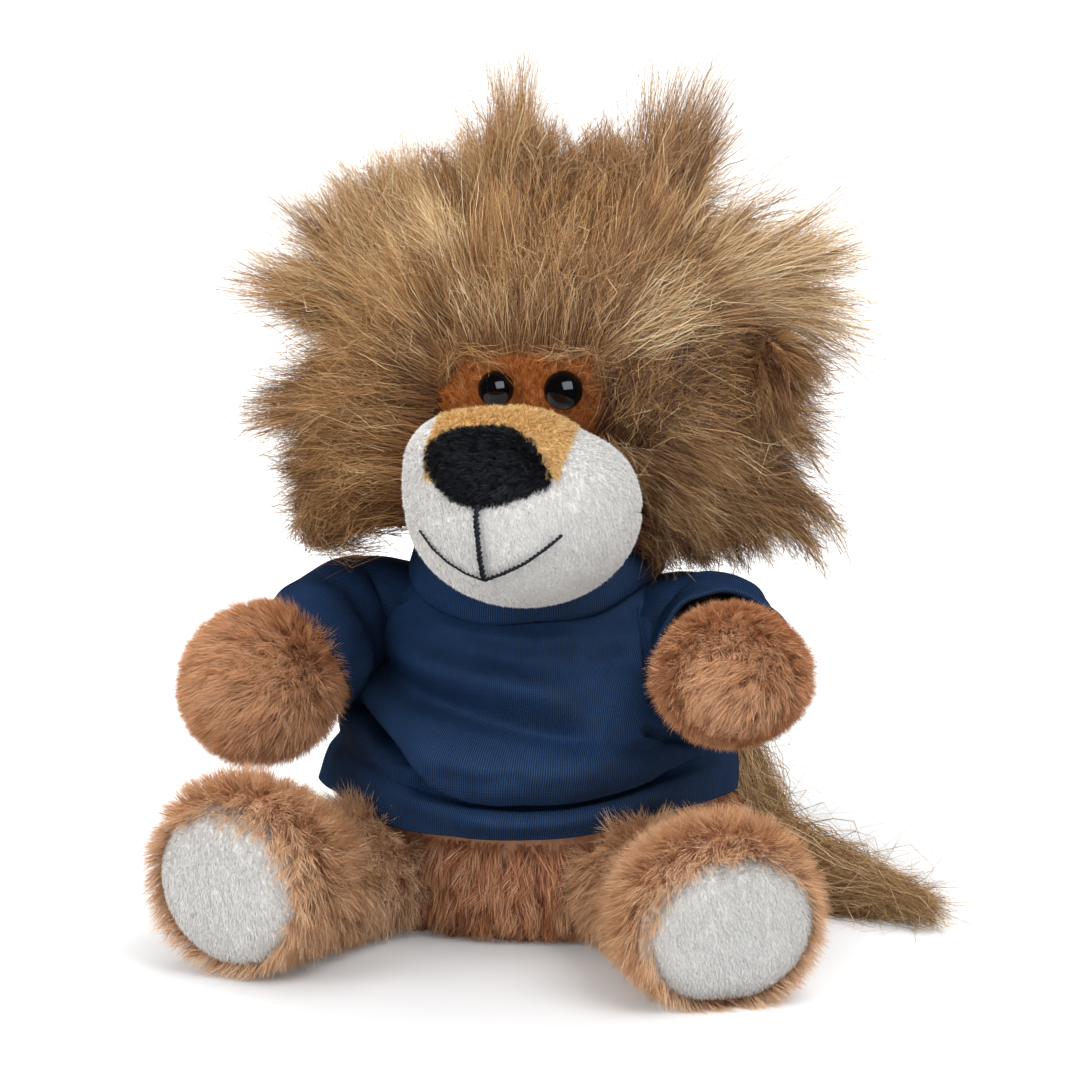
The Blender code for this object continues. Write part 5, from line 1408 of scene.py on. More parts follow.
def bezier(controls, s):
    """Points along a curve of four control points."""
    a, b, c, d = (p[:, None] for p in controls)
    s = s[..., None]
    return a * (1 - s) ** 3 + 3 * b * s * (1 - s) ** 2 + 3 * c * s * s * (1 - s) + d * s**3


def frizz(paths, s, rng, amount):
    """Small waves along each hair, more towards the tip."""
    count = len(paths)
    out = np.zeros_like(paths)
    for waves_along in (1.3, 3.1):
        way = rng.normal(size=(count, 1, 3))
        phase = rng.random((count, 1)) * 6.28
        out += way * (np.sin(s * waves_along * 6.28 + phase) - np.sin(phase))[..., None] / waves_along
    return paths + out * (amount[:, None] * s)[..., None]


def inside_outline(paths, share):
    """Paths cut short where they would pass the mane's outline in the picture."""
    head_x, head_y = seen(HEAD[None])
    ways = np.unwrap(np.arctan2(head_y - GUIDES[:, 7], GUIDES[:, 6] - head_x))
    order = np.argsort(ways)
    reaches = np.hypot(GUIDES[:, 6] - head_x, GUIDES[:, 7] - head_y)
    across, down = seen(paths)
    far = np.hypot(across - head_x, down - head_y)
    way = np.arctan2(head_y - down[:, -1], across[:, -1] - head_x)
    way = np.where(way < ways.min(), way + 2 * math.pi, way)
    allowed = np.interp(way, ways[order], reaches[order]) * share
    room = (allowed - far[:, 0]) / np.maximum(far[:, -1] - far[:, 0], 1e-6)
    factor = np.where(far[:, -1] > allowed, np.clip(room, 0.25, 1), 1.0)
    return paths[:, :1] + (paths - paths[:, :1]) * factor[:, None, None]


def off_skull(paths):
    """Paths with every point outside the head."""
    away = (paths - HEAD) / (HEAD_HALVES + 0.6 * MM)
    far = np.linalg.norm(away, axis=-1, keepdims=True)
    return np.where(far < 1, HEAD + (paths - HEAD) / np.maximum(far, 0.05), paths)


def blotches(across, down, size, seed):
    """Soft random patches over the picture, about -1 to 1, of a size in pixels."""
    rng = np.random.default_rng(seed)
    total = 0 * across
    for _ in range(12):
        angle = rng.random() * 6.28
        pitch = size * (0.7 + 0.8 * rng.random())
        total = total + np.sin(
            (across * math.cos(angle) + down * math.sin(angle)) * 6.28 / pitch + rng.random() * 6.28
        )
    return total / 3.4


# Hair under the tufts: it fills the mane's whole outline
rng = np.random.default_rng(61)
LOCKS = 2600
RIM_LOCKS = 700
STRANDS = 36000
RIM_STRANDS = 13000
spacing = np.hypot(np.diff(GUIDES[:, 6]), np.diff(GUIDES[:, 7]))
weight = np.clip(spacing, 18, 60)
chance = np.concatenate([[0], np.cumsum(weight)]) / weight.sum()
lock_index = np.interp(rng.random(LOCKS), chance, np.arange(GUIDE_COUNT))
lock_polar = rng.random(LOCKS) ** 0.9
lock_pull = 0.1 + 0.5 * rng.random(LOCKS)
lock_shift = rng.normal(size=(LOCKS, 3)) * 3.4 * MM
lock_long = 0.72 - 0.32 * rng.random(LOCKS)
steps = 7
lock_polar[:RIM_LOCKS] = 0.1 * rng.random(RIM_LOCKS)
lock_long[:RIM_LOCKS] = 0.3 + 0.25 * rng.random(RIM_LOCKS)
which = np.concatenate(
    [rng.integers(0, RIM_LOCKS, RIM_STRANDS), rng.integers(RIM_LOCKS, LOCKS, STRANDS)]
)
STRANDS += RIM_STRANDS
index = np.clip(lock_index[which] + rng.normal(size=STRANDS) * 0.6, 0, GUIDE_COUNT - 1)
polar = np.clip(lock_polar[which] + rng.normal(size=STRANDS) * 0.04, 0, 1)
length = lock_long[which] * (1 - 0.4 * rng.random(STRANDS) ** 1.8)
s = np.linspace(0, 1, steps)[None] * length[:, None]
own = bezier(mane_controls(index, polar, lock_pull[which]), s)
lead = bezier(mane_controls(lock_index[which], lock_polar[which], lock_pull[which]), s)
drift = lock_shift[which][:, None] * (s**1.4)[..., None]
own = own + drift + (rng.normal(size=(STRANDS, 3)) * 3.4 * MM)[:, None] * (s**1.5)[..., None]
gather = (0.5 * rng.random(STRANDS))[:, None, None] * s[..., None] ** 0.9
under_paths = own + (lead + drift - own) * gather
stray = rng.random(STRANDS) < 0.2
under_paths = off_skull(frizz(under_paths, s, rng, np.where(stray, 4.6 * MM, 1.4 * MM)))
under_paths = inside_outline(under_paths, 0.56 + 0.24 * rng.random(STRANDS))
under_tone = 0.36 + 0.12 * rng.normal(size=LOCKS)[which] + 0.13 * rng.normal(size=STRANDS)
# Hair whose root lies further back is darker, a painted shade; strays are lighter.
under_tone = under_tone - 0.1 * polar + 0.12 * stray
across, down = seen(under_paths[:, 3])
under_tone = under_tone + 0.07 * blotches(across, down, 60.0, 3)

# Tufts: a route in the picture, half widths in pixels at root and tip, depths in mm behind the
# head's middle at root and tip, how many hairs, and how much lighter than the rest
TUFT_ROUTES = (
    # top
    (((520, 300), (515, 220), (508, 150), (506, 40)), 26, 4, -10, 0, 1.9, 0.02),
    (((526, 300), (524, 220), (521, 160), (526, 84)), 18, 5, -10, 0, 0.7, 0.05),
    (((505, 300), (490, 220), (478, 160), (473, 126)), 24, 14, -12, -2, 1.3, 0.05),
    (((490, 300), (460, 230), (444, 180), (436, 150)), 22, 14, -12, -2, 1.2, 0.02),
    (((540, 300), (552, 220), (556, 165), (552, 124)), 26, 20, 0, 8, 1.6, -0.10),
    (((570, 300), (590, 220), (603, 165), (606, 114)), 26, 16, 0, 8, 1.5, -0.08),
    (((600, 300), (625, 230), (640, 190), (648, 146)), 24, 16, 0, 8, 1.4, -0.07),
    (((612, 300), (640, 230), (658, 160), (684, 58)), 22, 5, 0, 6, 1.6, -0.04),
    (((625, 300), (652, 230), (680, 160), (721, 62)), 18, 5, 0, 6, 1.5, -0.03),
    (((632, 300), (662, 240), (688, 180), (732, 92)), 12, 5, 0, 6, 0.6, -0.02),
    (((640, 300), (664, 240), (680, 190), (708, 116)), 10, 6, 2, 8, 0.9, -0.10),
    (((545, 250), (540, 190), (531, 150), (522, 108)), 14, 5, 0, 2, 0.5, 0.05),
    (((640, 260), (655, 210), (662, 170), (668, 110)), 14, 7, 2, 6, 0.7, -0.04),
    # upper left
    (((470, 320), (430, 240), (405, 190), (382, 134)), 22, 6, -10, 0, 1.2, 0.09),
    (((460, 330), (420, 250), (388, 190), (370, 158)), 22, 14, -10, 0, 1.3, 0.10),
    (((470, 330), (440, 240), (420, 190), (410, 146)), 18, 8, -10, 0, 0.8, 0.10),
    (((455, 335), (405, 260), (368, 205), (350, 162)), 22, 12, -12, 0, 1.4, 0.13),
    (((450, 340), (395, 275), (350, 220), (333, 176)), 22, 12, -12, -2, 1.4, 0.12),
    (((445, 345), (385, 290), (345, 240), (311, 193)), 20, 5, -12, -2, 1.4, 0.08),
    (((440, 350), (375, 300), (330, 250), (282, 194)), 18, 4, -12, -2, 1.2, 0.04),
    (((435, 355), (365, 310), (310, 270), (276, 250)), 18, 5, -12, -4, 0.8, 0.06),
    (((430, 360), (360, 320), (300, 297), (220, 285)), 18, 4, -10, -4, 1.3, 0.04),
    (((430, 365), (365, 325), (310, 300), (236, 263)), 16, 5, -10, -2, 1.0, 0.06),
    (((430, 370), (365, 335), (315, 315), (285, 308)), 18, 8, -10, -2, 1.0, 0.00),
    (((425, 375), (380, 360), (350, 350), (325, 352)), 18, 12, -8, 0, 1.0, -0.06),
    # left
    (((425, 385), (370, 375), (320, 378), (264, 383)), 16, 8, -10, -2, 1.1, -0.11),
    (((420, 395), (365, 385), (310, 395), (236, 400)), 16, 5, -12, -4, 1.3, -0.06),
    (((420, 405), (360, 400), (305, 408), (245, 418)), 16, 5, -12, -4, 1.3, -0.01),
    (((415, 415), (360, 410), (310, 415), (230, 430)), 14, 4, -12, -4, 0.8, -0.06),
    (((412, 430), (365, 425), (320, 428), (290, 440)), 18, 10, -14, -4, 1.2, -0.09),
    (((408, 445), (355, 440), (315, 448), (283, 462)), 18, 9, -14, -4, 1.2, -0.09),
    (((404, 460), (350, 455), (312, 465), (289, 480)), 18, 9, -14, -4, 1.2, -0.11),
    (((402, 475), (350, 470), (312, 482), (293, 500)), 18, 9, -14, -4, 1.2, -0.12),
    (((402, 490), (352, 488), (316, 500), (299, 520)), 16, 8, -12, -4, 1.1, -0.14),
    (((402, 505), (355, 503), (314, 518), (312, 541), (335, 549), (372, 541)), 13, 5, -10, -6, 1.3, -0.09),
    (((403, 512), (345, 505), (304, 520), (308, 546), (340, 552), (398, 536)), 11, 4, -8, -8, 0.9, -0.06),
    (((404, 520), (365, 518), (335, 526), (328, 541), (360, 546), (402, 534)), 10, 5, -6, -8, 0.7, -0.16),
    (((400, 480), (350, 490), (300, 510), (265, 521)), 6, 2, -8, -4, 0.15, -0.06),
    # over the forehead
    (((450, 361), (425, 310), (400, 270), (383, 232)), 14, 16, -30, -14, 1.2, 0.02),
    (((465, 358), (445, 300), (428, 255), (414, 205)), 14, 16, -31, -14, 1.3, 0.06),
    (((495, 336), (470, 285), (440, 235), (416, 200)), 9, 8, -31, -15, 1.0, 0.2),
    (((485, 356), (470, 300), (455, 255), (440, 215)), 14, 14, -31, -14, 1.2, 0.04),
    (((505, 355), (500, 300), (490, 250), (482, 190)), 14, 13, -31, -12, 1.3, 0.05),
    (((525, 355), (525, 300), (524, 255), (520, 205)), 14, 14, -31, -13, 1.2, 0.0),
    (((545, 355), (550, 300), (552, 262), (556, 232)), 14, 18, -31, -15, 1.2, -0.02),
    (((565, 355), (577, 300), (585, 265), (592, 232)), 14, 16, -31, -15, 1.2, 0.0),
    (((583, 355), (600, 305), (618, 265), (632, 232)), 12, 14, -30, -12, 1.1, -0.05),
    (((596, 355), (620, 305), (645, 270), (665, 238)), 10, 12, -28, -8, 1.0, -0.08),
    (((520, 353), (540, 290), (556, 240), (575, 205)), 10, 14, -29, -10, 0.8, 0.05),
    (((447, 362), (410, 330), (375, 295), (342, 262)), 12, 14, -29, -12, 1.1, 0.02),
    (((444, 380), (400, 355), (362, 325), (328, 298)), 12, 14, -28, -12, 1.1, 0.02),
    (((442, 395), (395, 378), (355, 352), (325, 330)), 12, 12, -28, -12, 1.0, -0.05),
    (((439, 372), (405, 350), (385, 322), (366, 300)), 9, 9, -30, -16, 0.7, 0.10),
    (((432, 412), (385, 395), (345, 380), (310, 372)), 12, 12, -27, -12, 1.0, -0.02),
    (((419, 430), (375, 415), (335, 405), (300, 402)), 12, 12, -26, -12, 1.0, 0.02),
    (((413, 450), (370, 440), (335, 432), (305, 432)), 12, 12, -26, -12, 1.0, -0.03),
    (((410, 470), (368, 465), (335, 460), (308, 468)), 12, 12, -26, -12, 1.0, -0.05),
    (((409, 490), (368, 488), (335, 488), (312, 500)), 12, 12, -24, -12, 1.0, -0.07),
    (((410, 510), (370, 512), (340, 515), (318, 525)), 11, 10, -20, -10, 0.8, -0.10),
    (((410, 525), (380, 524), (360, 524), (338, 530)), 9, 8, -16, -8, 0.6, -0.12),
    # right, upper
    (((597, 355), (640, 322), (690, 300), (760, 283), (868, 238)), 10, 5, -28, 0, 1.5, 0.18),
    (((598, 362), (645, 330), (700, 308), (770, 296), (852, 300)), 10, 7, -29, 0, 1.7, 0.24),
    (((600, 372), (648, 340), (700, 318), (770, 305), (888, 323)), 9, 4, -29, 0, 1.6, 0.22),
    (((602, 382), (655, 348), (710, 322), (780, 312), (870, 338)), 8, 5, -26, 0, 1.2, 0.12),
    (((594, 352), (640, 310), (690, 275), (750, 258), (852, 262)), 12, 8, -26, 2, 1.3, 0.16),
    (((590, 352), (640, 300), (685, 262), (730, 246), (812, 243)), 12, 7, -20, 4, 1.2, 0.03),
    (((650, 300), (695, 262), (728, 232), (758, 209), (800, 196)), 5, 2, -6, 4, 0.35, 0.02),
    (((600, 366), (655, 325), (720, 290), (800, 262), (879, 250)), 8, 4, -26, 0, 0.8, 0.15),
    (((650, 290), (690, 250), (730, 240), (778, 241)), 12, 8, -4, 6, 0.9, -0.02),
    # right, at the ear
    (((672, 388), (681, 356), (705, 334), (745, 322), (778, 338)), 4, 3, -25, -14, 0.8, -0.30),
    (((668, 400), (690, 370), (725, 350), (772, 348)), 12, 9, -20, -8, 1.2, -0.12),
    (((690, 405), (710, 380), (740, 362), (778, 360)), 12, 10, -18, -6, 1.0, -0.14),
    (((735, 345), (775, 345), (805, 360), (824, 386)), 10, 8, -8, 0, 0.9, -0.06),
    (((730, 365), (765, 362), (795, 380), (814, 410)), 10, 7, -8, 0, 0.6, -0.08),
    (((775, 335), (800, 345), (818, 370), (830, 397)), 6, 4, -4, 0, 0.3, -0.02),
    # right, hanging
    (((715, 395), (750, 395), (785, 420), (810, 445), (835, 469)), 9, 3, -10, 0, 0.9, -0.06),
    (((720, 400), (758, 408), (774, 432), (781, 463)), 8, 4, -8, 0, 0.5, -0.08),
    (((730, 390), (775, 398), (800, 425), (829, 453)), 7, 3, -6, 0, 0.5, -0.04),
    (((700, 390), (730, 385), (765, 385), (800, 400)), 8, 8, -10, 0, 0.5, -0.10),
    (((690, 430), (730, 445), (765, 465), (802, 482)), 16, 9, -14, -2, 1.3, -0.12),
    (((690, 450), (735, 470), (775, 490), (828, 528)), 16, 6, -14, -2, 1.4, -0.09),
    (((695, 470), (735, 495), (775, 515), (813, 550)), 16, 7, -14, -2, 1.3, -0.07),
    (((690, 490), (725, 510), (755, 530), (777, 562)), 16, 9, -14, -2, 1.2, -0.07),
    (((680, 505), (705, 525), (730, 545), (746, 572)), 14, 9, -12, -2, 1.1, -0.10),
    (((665, 520), (685, 540), (705, 557), (713, 577)), 12, 7, -10, -4, 0.9, -0.14),
    (((785, 470), (815, 500), (838, 535), (847, 574)), 5, 3, -4, 0, 0.3, -0.02),
    (((770, 500), (800, 530), (818, 560), (823, 592)), 5, 3, -4, 0, 0.3, -0.02),
    # right, beside the face and the muzzle
    (((604, 440), (620, 400), (632, 365), (650, 335)), 10, 10, -28, -16, 1.2, -0.16),
    (((622, 450), (640, 410), (655, 380), (668, 350)), 12, 12, -26, -14, 1.2, -0.17),
    (((630, 455), (660, 420), (680, 395), (700, 372)), 14, 14, -24, -14, 1.3, -0.15),
    (((640, 440), (665, 430), (700, 420), (735, 410)), 12, 10, -20, -8, 1.0, -0.14),
    (((648, 418), (680, 428), (708, 455), (738, 497)), 9, 8, -28, -12, 1.3, 0.16),
    (((622, 452), (655, 468), (690, 490), (728, 514)), 9, 8, -28, -12, 1.3, 0.04),
    (((632, 475), (660, 490), (690, 510), (718, 542)), 9, 8, -26, -10, 1.2, 0.02),
    (((638, 500), (665, 512), (695, 532), (715, 562)), 9, 8, -24, -8, 1.1, -0.02),
    (((640, 520), (660, 532), (680, 548), (692, 572)), 8, 8, -20, -6, 0.9, -0.10),
    (((636, 540), (650, 550), (662, 560), (670, 574)), 7, 5, -18, -8, 0.6, -0.14),
    (((660, 430), (690, 445), (715, 455), (738, 458)), 10, 10, -16, -8, 0.9, -0.20),
    (((605, 430), (618, 455), (640, 480), (665, 505)), 5, 6, -31, -18, 0.4, 0.10),
    (((640, 330), (648, 370), (640, 410), (632, 440)), 8, 6, -28, -22, 0.5, 0.04),
    # short hairs that fall over the face patch
    (((438, 352), (465, 347), (495, 352), (530, 350)), 4, 3, -35, -35, 0.10, 0.0),
    (((606, 346), (580, 350), (552, 356), (520, 353)), 4, 3, -35, -35, 0.10, 0.0),
    (((436, 392), (440, 372), (452, 356), (470, 348)), 4, 4, -32, -33, 0.14, 0.0),
    (((606, 400), (603, 380), (600, 362), (590, 350)), 4, 4, -32, -33, 0.14, -0.06),
)
TUFT_HAIRS = 740
WISPS = 90


def smooth_line(route, count):
    """Points on a smooth open line through a route."""
    ends = np.vstack([2 * route[0] - route[1], route, 2 * route[-1] - route[-2]])
    t = np.linspace(0, len(route) - 1.0001, count)
    k = t.astype(int)
    f = (t - k)[:, None]
    a, b, c, d = (ends[k + n] for n in range(4))
    return 0.5 * (2 * b + (c - a) * f + (2 * a - 5 * b + 4 * c - d) * f**2 + (3 * b - a - 3 * c + d) * f**3)


def tuft_hair(tuft, seed):
    """Paths and tones of the hairs of one tuft."""
    route, root_half, tip_half, root_depth, tip_depth, share, tone = tuft
    rng = np.random.default_rng(seed)
    count = int(TUFT_HAIRS * share)
    line = smooth_line(np.array(route, float), 40)
    known = np.linspace(0, 1, 40)
    ahead = unit(np.gradient(line, axis=0))
    long = np.hypot(*np.diff(line, axis=0).T).sum()
    locks = max(5, count // 22)
    lock = rng.integers(0, locks, count)
    lane = np.clip(rng.normal(size=locks) * 0.62, -1.35, 1.35)
    reach = 0.7 + 0.46 * rng.random(locks) ** 1.9
    bend = rng.normal(size=locks) * 0.075
    deep = np.abs(rng.normal(size=locks)) * 3.0
    begin = 0.42 * rng.random(count) ** 1.5
    finish = reach[lock] * (1 - 0.36 * rng.random(count) ** 2.2)
    finish = np.maximum(finish, begin + 0.3)
    s = np.linspace(0, 1, steps)[None]
    u = np.clip(begin[:, None] + (finish - begin)[:, None] * s, 0, 1.08)
    spread = (lane[lock] + rng.normal(size=count) * 0.34)[:, None]
    gather = 1 - (0.35 + 0.55 * rng.random(count)[:, None]) * s**0.8
    half = root_half + (0.6 * tip_half - root_half) * np.minimum(u, 1)
    aside = (lane[lock][:, None] + (spread - lane[lock][:, None]) * gather) * half
    turn = bend[lock] + 0.035 * rng.normal(size=count) * (1 + 6.5 * (rng.random(count) < 0.2))
    aside = aside + turn[:, None] * long * s**2
    x, y, nx, ny = (np.interp(u, known, v) for v in (line[:, 0], line[:, 1], -ahead[:, 1], ahead[:, 0]))
    beyond = np.maximum(u - 1, 0) * long
    x, y = x + beyond * ahead[-1, 0], y + beyond * ahead[-1, 1]
    own_deep = deep[lock] + np.abs(rng.normal(size=count)) * 2.2
    depth = root_depth + (tip_depth - root_depth) * u + own_deep[:, None] * (0.35 + 0.65 * s)
    across, down = x + nx * aside, y + ny * aside
    skull, met = hit(across, down, HEAD, HEAD_HALVES + 0.6 * MM)
    floor_depth = np.where(met, (skull - HEAD) @ LOOK / MM - 0.2, 99)
    lifted = np.where(met[:, 0], np.maximum(floor_depth[:, 0] - depth[:, 0], 0), 0)
    depth = depth + lifted[:, None] * (1 - s) ** 2
    over = 0.9 + 2.6 * rng.random(count)[:, None] * eased(s * 4)
    depth = np.minimum(depth, floor_depth - over)
    points = placed(across, down, HEAD_DEPTH + depth * MM)
    late = eased(begin / 0.1)[:, None, None]
    points = points + (HEAD - points) * 0.16 * late * ((1 - s) ** 2)[..., None]
    stray = rng.random(count) < 0.25
    points = off_skull(frizz(points, np.repeat(s, count, 0), rng, np.where(stray, 4.6 * MM, 1.2 * MM)))
    shade = 0.5 + 1.4 * tone + 0.12 * rng.normal(size=locks)[lock] + 0.13 * rng.normal(size=count)
    # Hairs that lie deeper behind the tuft are darker, a painted shade; strays are lighter.
    shade = shade + 0.1 * stray - 0.02 * own_deep
    shade = shade + 0.07 * blotches(across[:, 3], down[:, 3], 46.0, 4)
    return points, shade


def wisps(count):
    """Thin loose locks at the outline, one across another."""
    rng = np.random.default_rng(64)
    out = []
    for index in np.sort(rng.uniform(1, GUIDE_COUNT - 4, count)):
        row = np.array([guide_value(index, k) for k in range(8)]).reshape(4, 2)
        ahead = unit(row[3] - row[1])
        aside = np.array((-ahead[1], ahead[0]))
        swing = 30 * rng.normal()
        tip = row[3] + ahead * rng.uniform(-6, 26) + aside * swing
        second = row[2] + aside * (swing * 0.1 + 8 * rng.normal())
        first = row[1] + aside * 10 * rng.normal()
        third = 0.45 * second + 0.55 * tip + aside * 5 * rng.normal()
        route = (tuple(first), tuple(second), tuple(third), tuple(tip))
        out.append((route, 6, rng.uniform(2, 6), rng.uniform(-14, 2), rng.uniform(-4, 8),
                    rng.uniform(0.06, 0.16), rng.uniform(-0.12, 0.08)))
    return tuple(out)


made = [tuft_hair(tuft, 600 + k) for k, tuft in enumerate(TUFT_ROUTES + wisps(WISPS))]
paths = np.concatenate([under_paths] + [m[0] for m in made])
tone = np.concatenate([under_tone] + [m[1] for m in made])
tip_across, tip_down = seen(paths[:, -1])
kept = ~((tip_down > 553) & (tip_across < 450)) & (tip_down < 596)
paths, tone = paths[kept], tone[kept]
middle, _ = seen(paths[:, 3])
rng = np.random.default_rng(63)
facing = unit(unit(paths[:, 0] - HEAD) * 0.7 - LOOK * 0.2 + 0.6 * rng.normal(size=(len(paths), 3)))
widths = 0.115 * MM * (0.6 + 0.8 * rng.random(len(paths)))
for name, low, high in (
    ("mane_hair_right", -1e9, 440), ("mane_hair_top", 440, 640), ("mane_hair_left", 640, 1e9)
):
    part = (middle >= low) & (middle < high)
    ribbons(name, paths[part], widths[part], tone[part], facing[part], FUR_BROWN, "head")

# Hair on the back of the head, out to the form of the mane
BACK_HAIRS = 32000
BACK_LOCKS = 700
rng = np.random.default_rng(62)
count = BACK_HAIRS
ways = unit(rng.normal(size=(count * 3, 3)))
ways = ways[ways @ LOOK > -0.05][:count]
count = len(ways)
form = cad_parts["mane"]
tree = bvhtree.BVHTree.FromPolygons(
    [form.matrix_world @ v.co for v in form.data.vertices], [tuple(f.vertices) for f in form.data.polygons]
)
roots = HEAD + ways * (HEAD_HALVES + 0.2 * MM)
reach = np.zeros(count)
for k in range(count):
    met = tree.ray_cast(Vector(HEAD + ways[k] * 0.2), Vector(-ways[k]))
    reach[k] = 0.2 - met[3] if met[0] is not None else 0.04
reach = np.maximum(reach - np.linalg.norm(roots - HEAD, axis=1), 6 * MM)
leaders, nearest = clumps(roots, BACK_LOCKS, rng)
steps = 5
s = np.linspace(0, 1, steps)[None, :, None]
lean = 0.34 * rng.normal(size=(BACK_LOCKS, 3))[nearest] + 0.14 * rng.normal(size=(count, 3))
lean = lean + 0.5 * LOOK + (0, 0, -0.3)
lean -= ways * np.sum(lean * ways, 1)[:, None]
length = reach / 0.62 * (1.06 - 0.3 * rng.random(count))
rise = ways[:, None] * s * (0.8 - 0.18 * s)
paths = roots[:, None] + length[:, None, None] * (rise + lean[:, None] * (0.5 * s + 0.4 * s**2))
lead = paths[leaders][nearest]
gather = (0.55 * rng.random(count))[:, None, None] * s**1.3
paths = paths + (lead - paths) * gather
stray = rng.random(count) < 0.1
paths = frizz(paths, np.repeat(s[..., 0], count, 0), rng, np.where(stray, 3.0 * MM, 0.8 * MM))
tone = 0.44 + 0.1 * rng.normal(size=BACK_LOCKS)[nearest] + 0.08 * rng.normal(size=count)
paths = inside_outline(paths, 0.84 + 0.12 * rng.random(count))
tip_across, tip_down = seen(paths[:, -1])
lowest = np.where(np.hypot(paths[..., 0], paths[..., 1]).min(1) < 38 * MM, 84 * MM, 80 * MM)
kept = (tip_down < 556) & (paths[..., 2].min(1) > lowest)
count = kept.sum()
paths, tone, ways = paths[kept], tone[kept], ways[kept]
facing = unit(ways + 0.6 * rng.normal(size=(count, 3)))
ribbons("mane_hair_back", off_skull(paths), 0.22 * MM * (0.6 + 0.8 * rng.random(count)), tone, facing,
        FUR_BROWN, "head")

# Hair on the neck, under the back of the mane
NECK_HAIRS = 6000
NECK_PILE = 5.5 * MM
rng = np.random.default_rng(65)
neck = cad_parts["neck_stuffing"]
plug = np.array([neck.matrix_world @ v.co for v in neck.data.vertices])
plug_middle = (plug.max(0) + plug.min(0)) / 2
plug_half = (plug.max(0) - plug.min(0)) / 2
heights = np.linspace(plug.min(0)[2] + 1 * MM, plug.max(0)[2], 12)
angle = circle(48)
grid = np.stack([
    plug_middle[0] + plug_half[0] * np.cos(angle)[None] + 0 * heights[:, None],
    plug_middle[1] + plug_half[1] * np.sin(angle)[None] + 0 * heights[:, None],
    heights[:, None] + 0 * angle[None],
], -1)
normals = unit((grid - plug_middle) * (1, 1, 0))
roots, outs, along, row, column = scatter(grid, normals, NECK_HAIRS, rng)
comb = np.array((0, 0, -1.0)) + 0 * outs
plush("neck_hair", roots, outs, comb, FUR_BROWN, "neck", rng, NECK_PILE, 0.16 * MM,
      lift=0.5, clump_count=260, pull=0.35, curl=0.3, tone=0.34)

# Tail

rng = np.random.default_rng(71)
TAIL_HAIRS = 17000
TAIL_LOCKS = 200
steps = 8
begin = rng.random(TAIL_HAIRS) ** 1.2 * 0.62 + 0.04
reach = 0.26 + 0.26 * rng.random(TAIL_HAIRS)
shares = np.clip(begin[:, None] + reach[:, None] * np.linspace(0, 1, steps)[None], 0, 1.06)
table = np.array([between(TAIL_ROUTE_SHARES, v) for v in np.linspace(0, 1.06, 160)])
route = TAIL_ROOT + table * (TAIL_REACH, TAIL_DEPTH, TAIL_DROP)
sag = np.sin(np.clip(np.linspace(0, 1.06, 160), 0, 1) * math.pi)[:, None] ** 1.5
route = route + sag * np.array((-12.0, 0.0, -5.0)) * MM
route = route - (np.linspace(0, 1.06, 160)[:, None] ** 2) * np.array((9.0, 0.0, -1.0)) * MM
ahead = unit(np.gradient(route, axis=0))
across = unit(np.cross(ahead, (0, 0, 1.0)))
above = np.cross(across, ahead)
known = np.linspace(0, 1.06, 160)


def follow(values):
    """Values along the tail's route, at each hair's shares of it."""
    return np.stack([np.interp(shares, known, values[:, i]) for i in range(3)], -1)


angle = rng.random(TAIL_HAIRS) * 6.28
spread = np.sqrt(rng.random(TAIL_HAIRS))
TAIL_HAIR_SHARES = (0, 0.24, 0.5, 0.75, 0.92, 1.06)
TAIL_HAIR_RADII = np.array((5, 10, 12.5, 8.5, 4.5, 2.0)) * MM
radius_table = np.interp(shares, TAIL_HAIR_SHARES, TAIL_HAIR_RADII)
swell = 0.35 + 0.65 * eased(np.linspace(0, 1, steps) * 2.2)[None]
offset = radius_table * swell * spread[:, None]
locks = TAIL_LOCKS
lock = rng.integers(0, locks, TAIL_HAIRS)
angle = (rng.random(locks) * 6.28)[lock] + 0.22 * rng.normal(size=TAIL_HAIRS)
paths = (
    follow(route)
    + follow(across) * (offset * np.cos(angle)[:, None])[..., None]
    + follow(above) * (offset * np.sin(angle)[:, None])[..., None]
)
stray = rng.random(TAIL_HAIRS) < 0.16
s = np.repeat(np.linspace(0, 1, steps)[None], TAIL_HAIRS, 0)
paths = frizz(paths, s, rng, np.where(stray, 7.0 * MM, 2.9 * MM))
near = (shares - 0.06) / 0.14
oval = np.hypot(paths[..., 0] / (47 * MM), paths[..., 1] / (42.5 * MM))
push = 1 + (np.maximum(1 / np.maximum(oval, 0.3), 1) - 1) * eased(near)
paths[..., :2] *= push[..., None]
tone = 0.54 + 0.13 * rng.normal(size=locks)[lock] + 0.1 * rng.normal(size=TAIL_HAIRS) + 0.15 * stray
facing = unit(rng.normal(size=(TAIL_HAIRS, 3)))
tail = ribbons("tail_hair", paths, 0.16 * MM * (0.6 + 0.8 * rng.random(TAIL_HAIRS)), tone, facing,
               FUR_OLIVE, "tail")
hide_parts("tail_brush")

# Fur on the root of the tail's stem
STEM_HAIRS = 5000
STEM_PILE = 5.0 * MM
rng = np.random.default_rng(72)
stem_radius = TAIL_STEM_RADIUS + 0.2 * MM
round_end = np.linspace(math.pi / 2 - 0.05, 0, 9)
middles = [TAIL_ROOT - ahead[0] * stem_radius * math.sin(t) for t in round_end]
radii = [stem_radius * math.cos(t) for t in round_end]
for k in range(2, 30, 3):
    middles.append(route[k])
    radii.append(stem_radius)
angle = circle(32)
level, rise = across[0], above[0]
ring = np.cos(angle)[:, None] * level + np.sin(angle)[:, None] * rise
grid = np.array(middles)[:, None] + ring[None] * np.array(radii)[:, None, None]
normals = grid_normals(grid)
normals *= np.sign(np.sum(normals * (grid - np.array(middles)[:, None]), -1).sum())
roots, outs, along, row, column = scatter(grid, normals, STEM_HAIRS, rng)
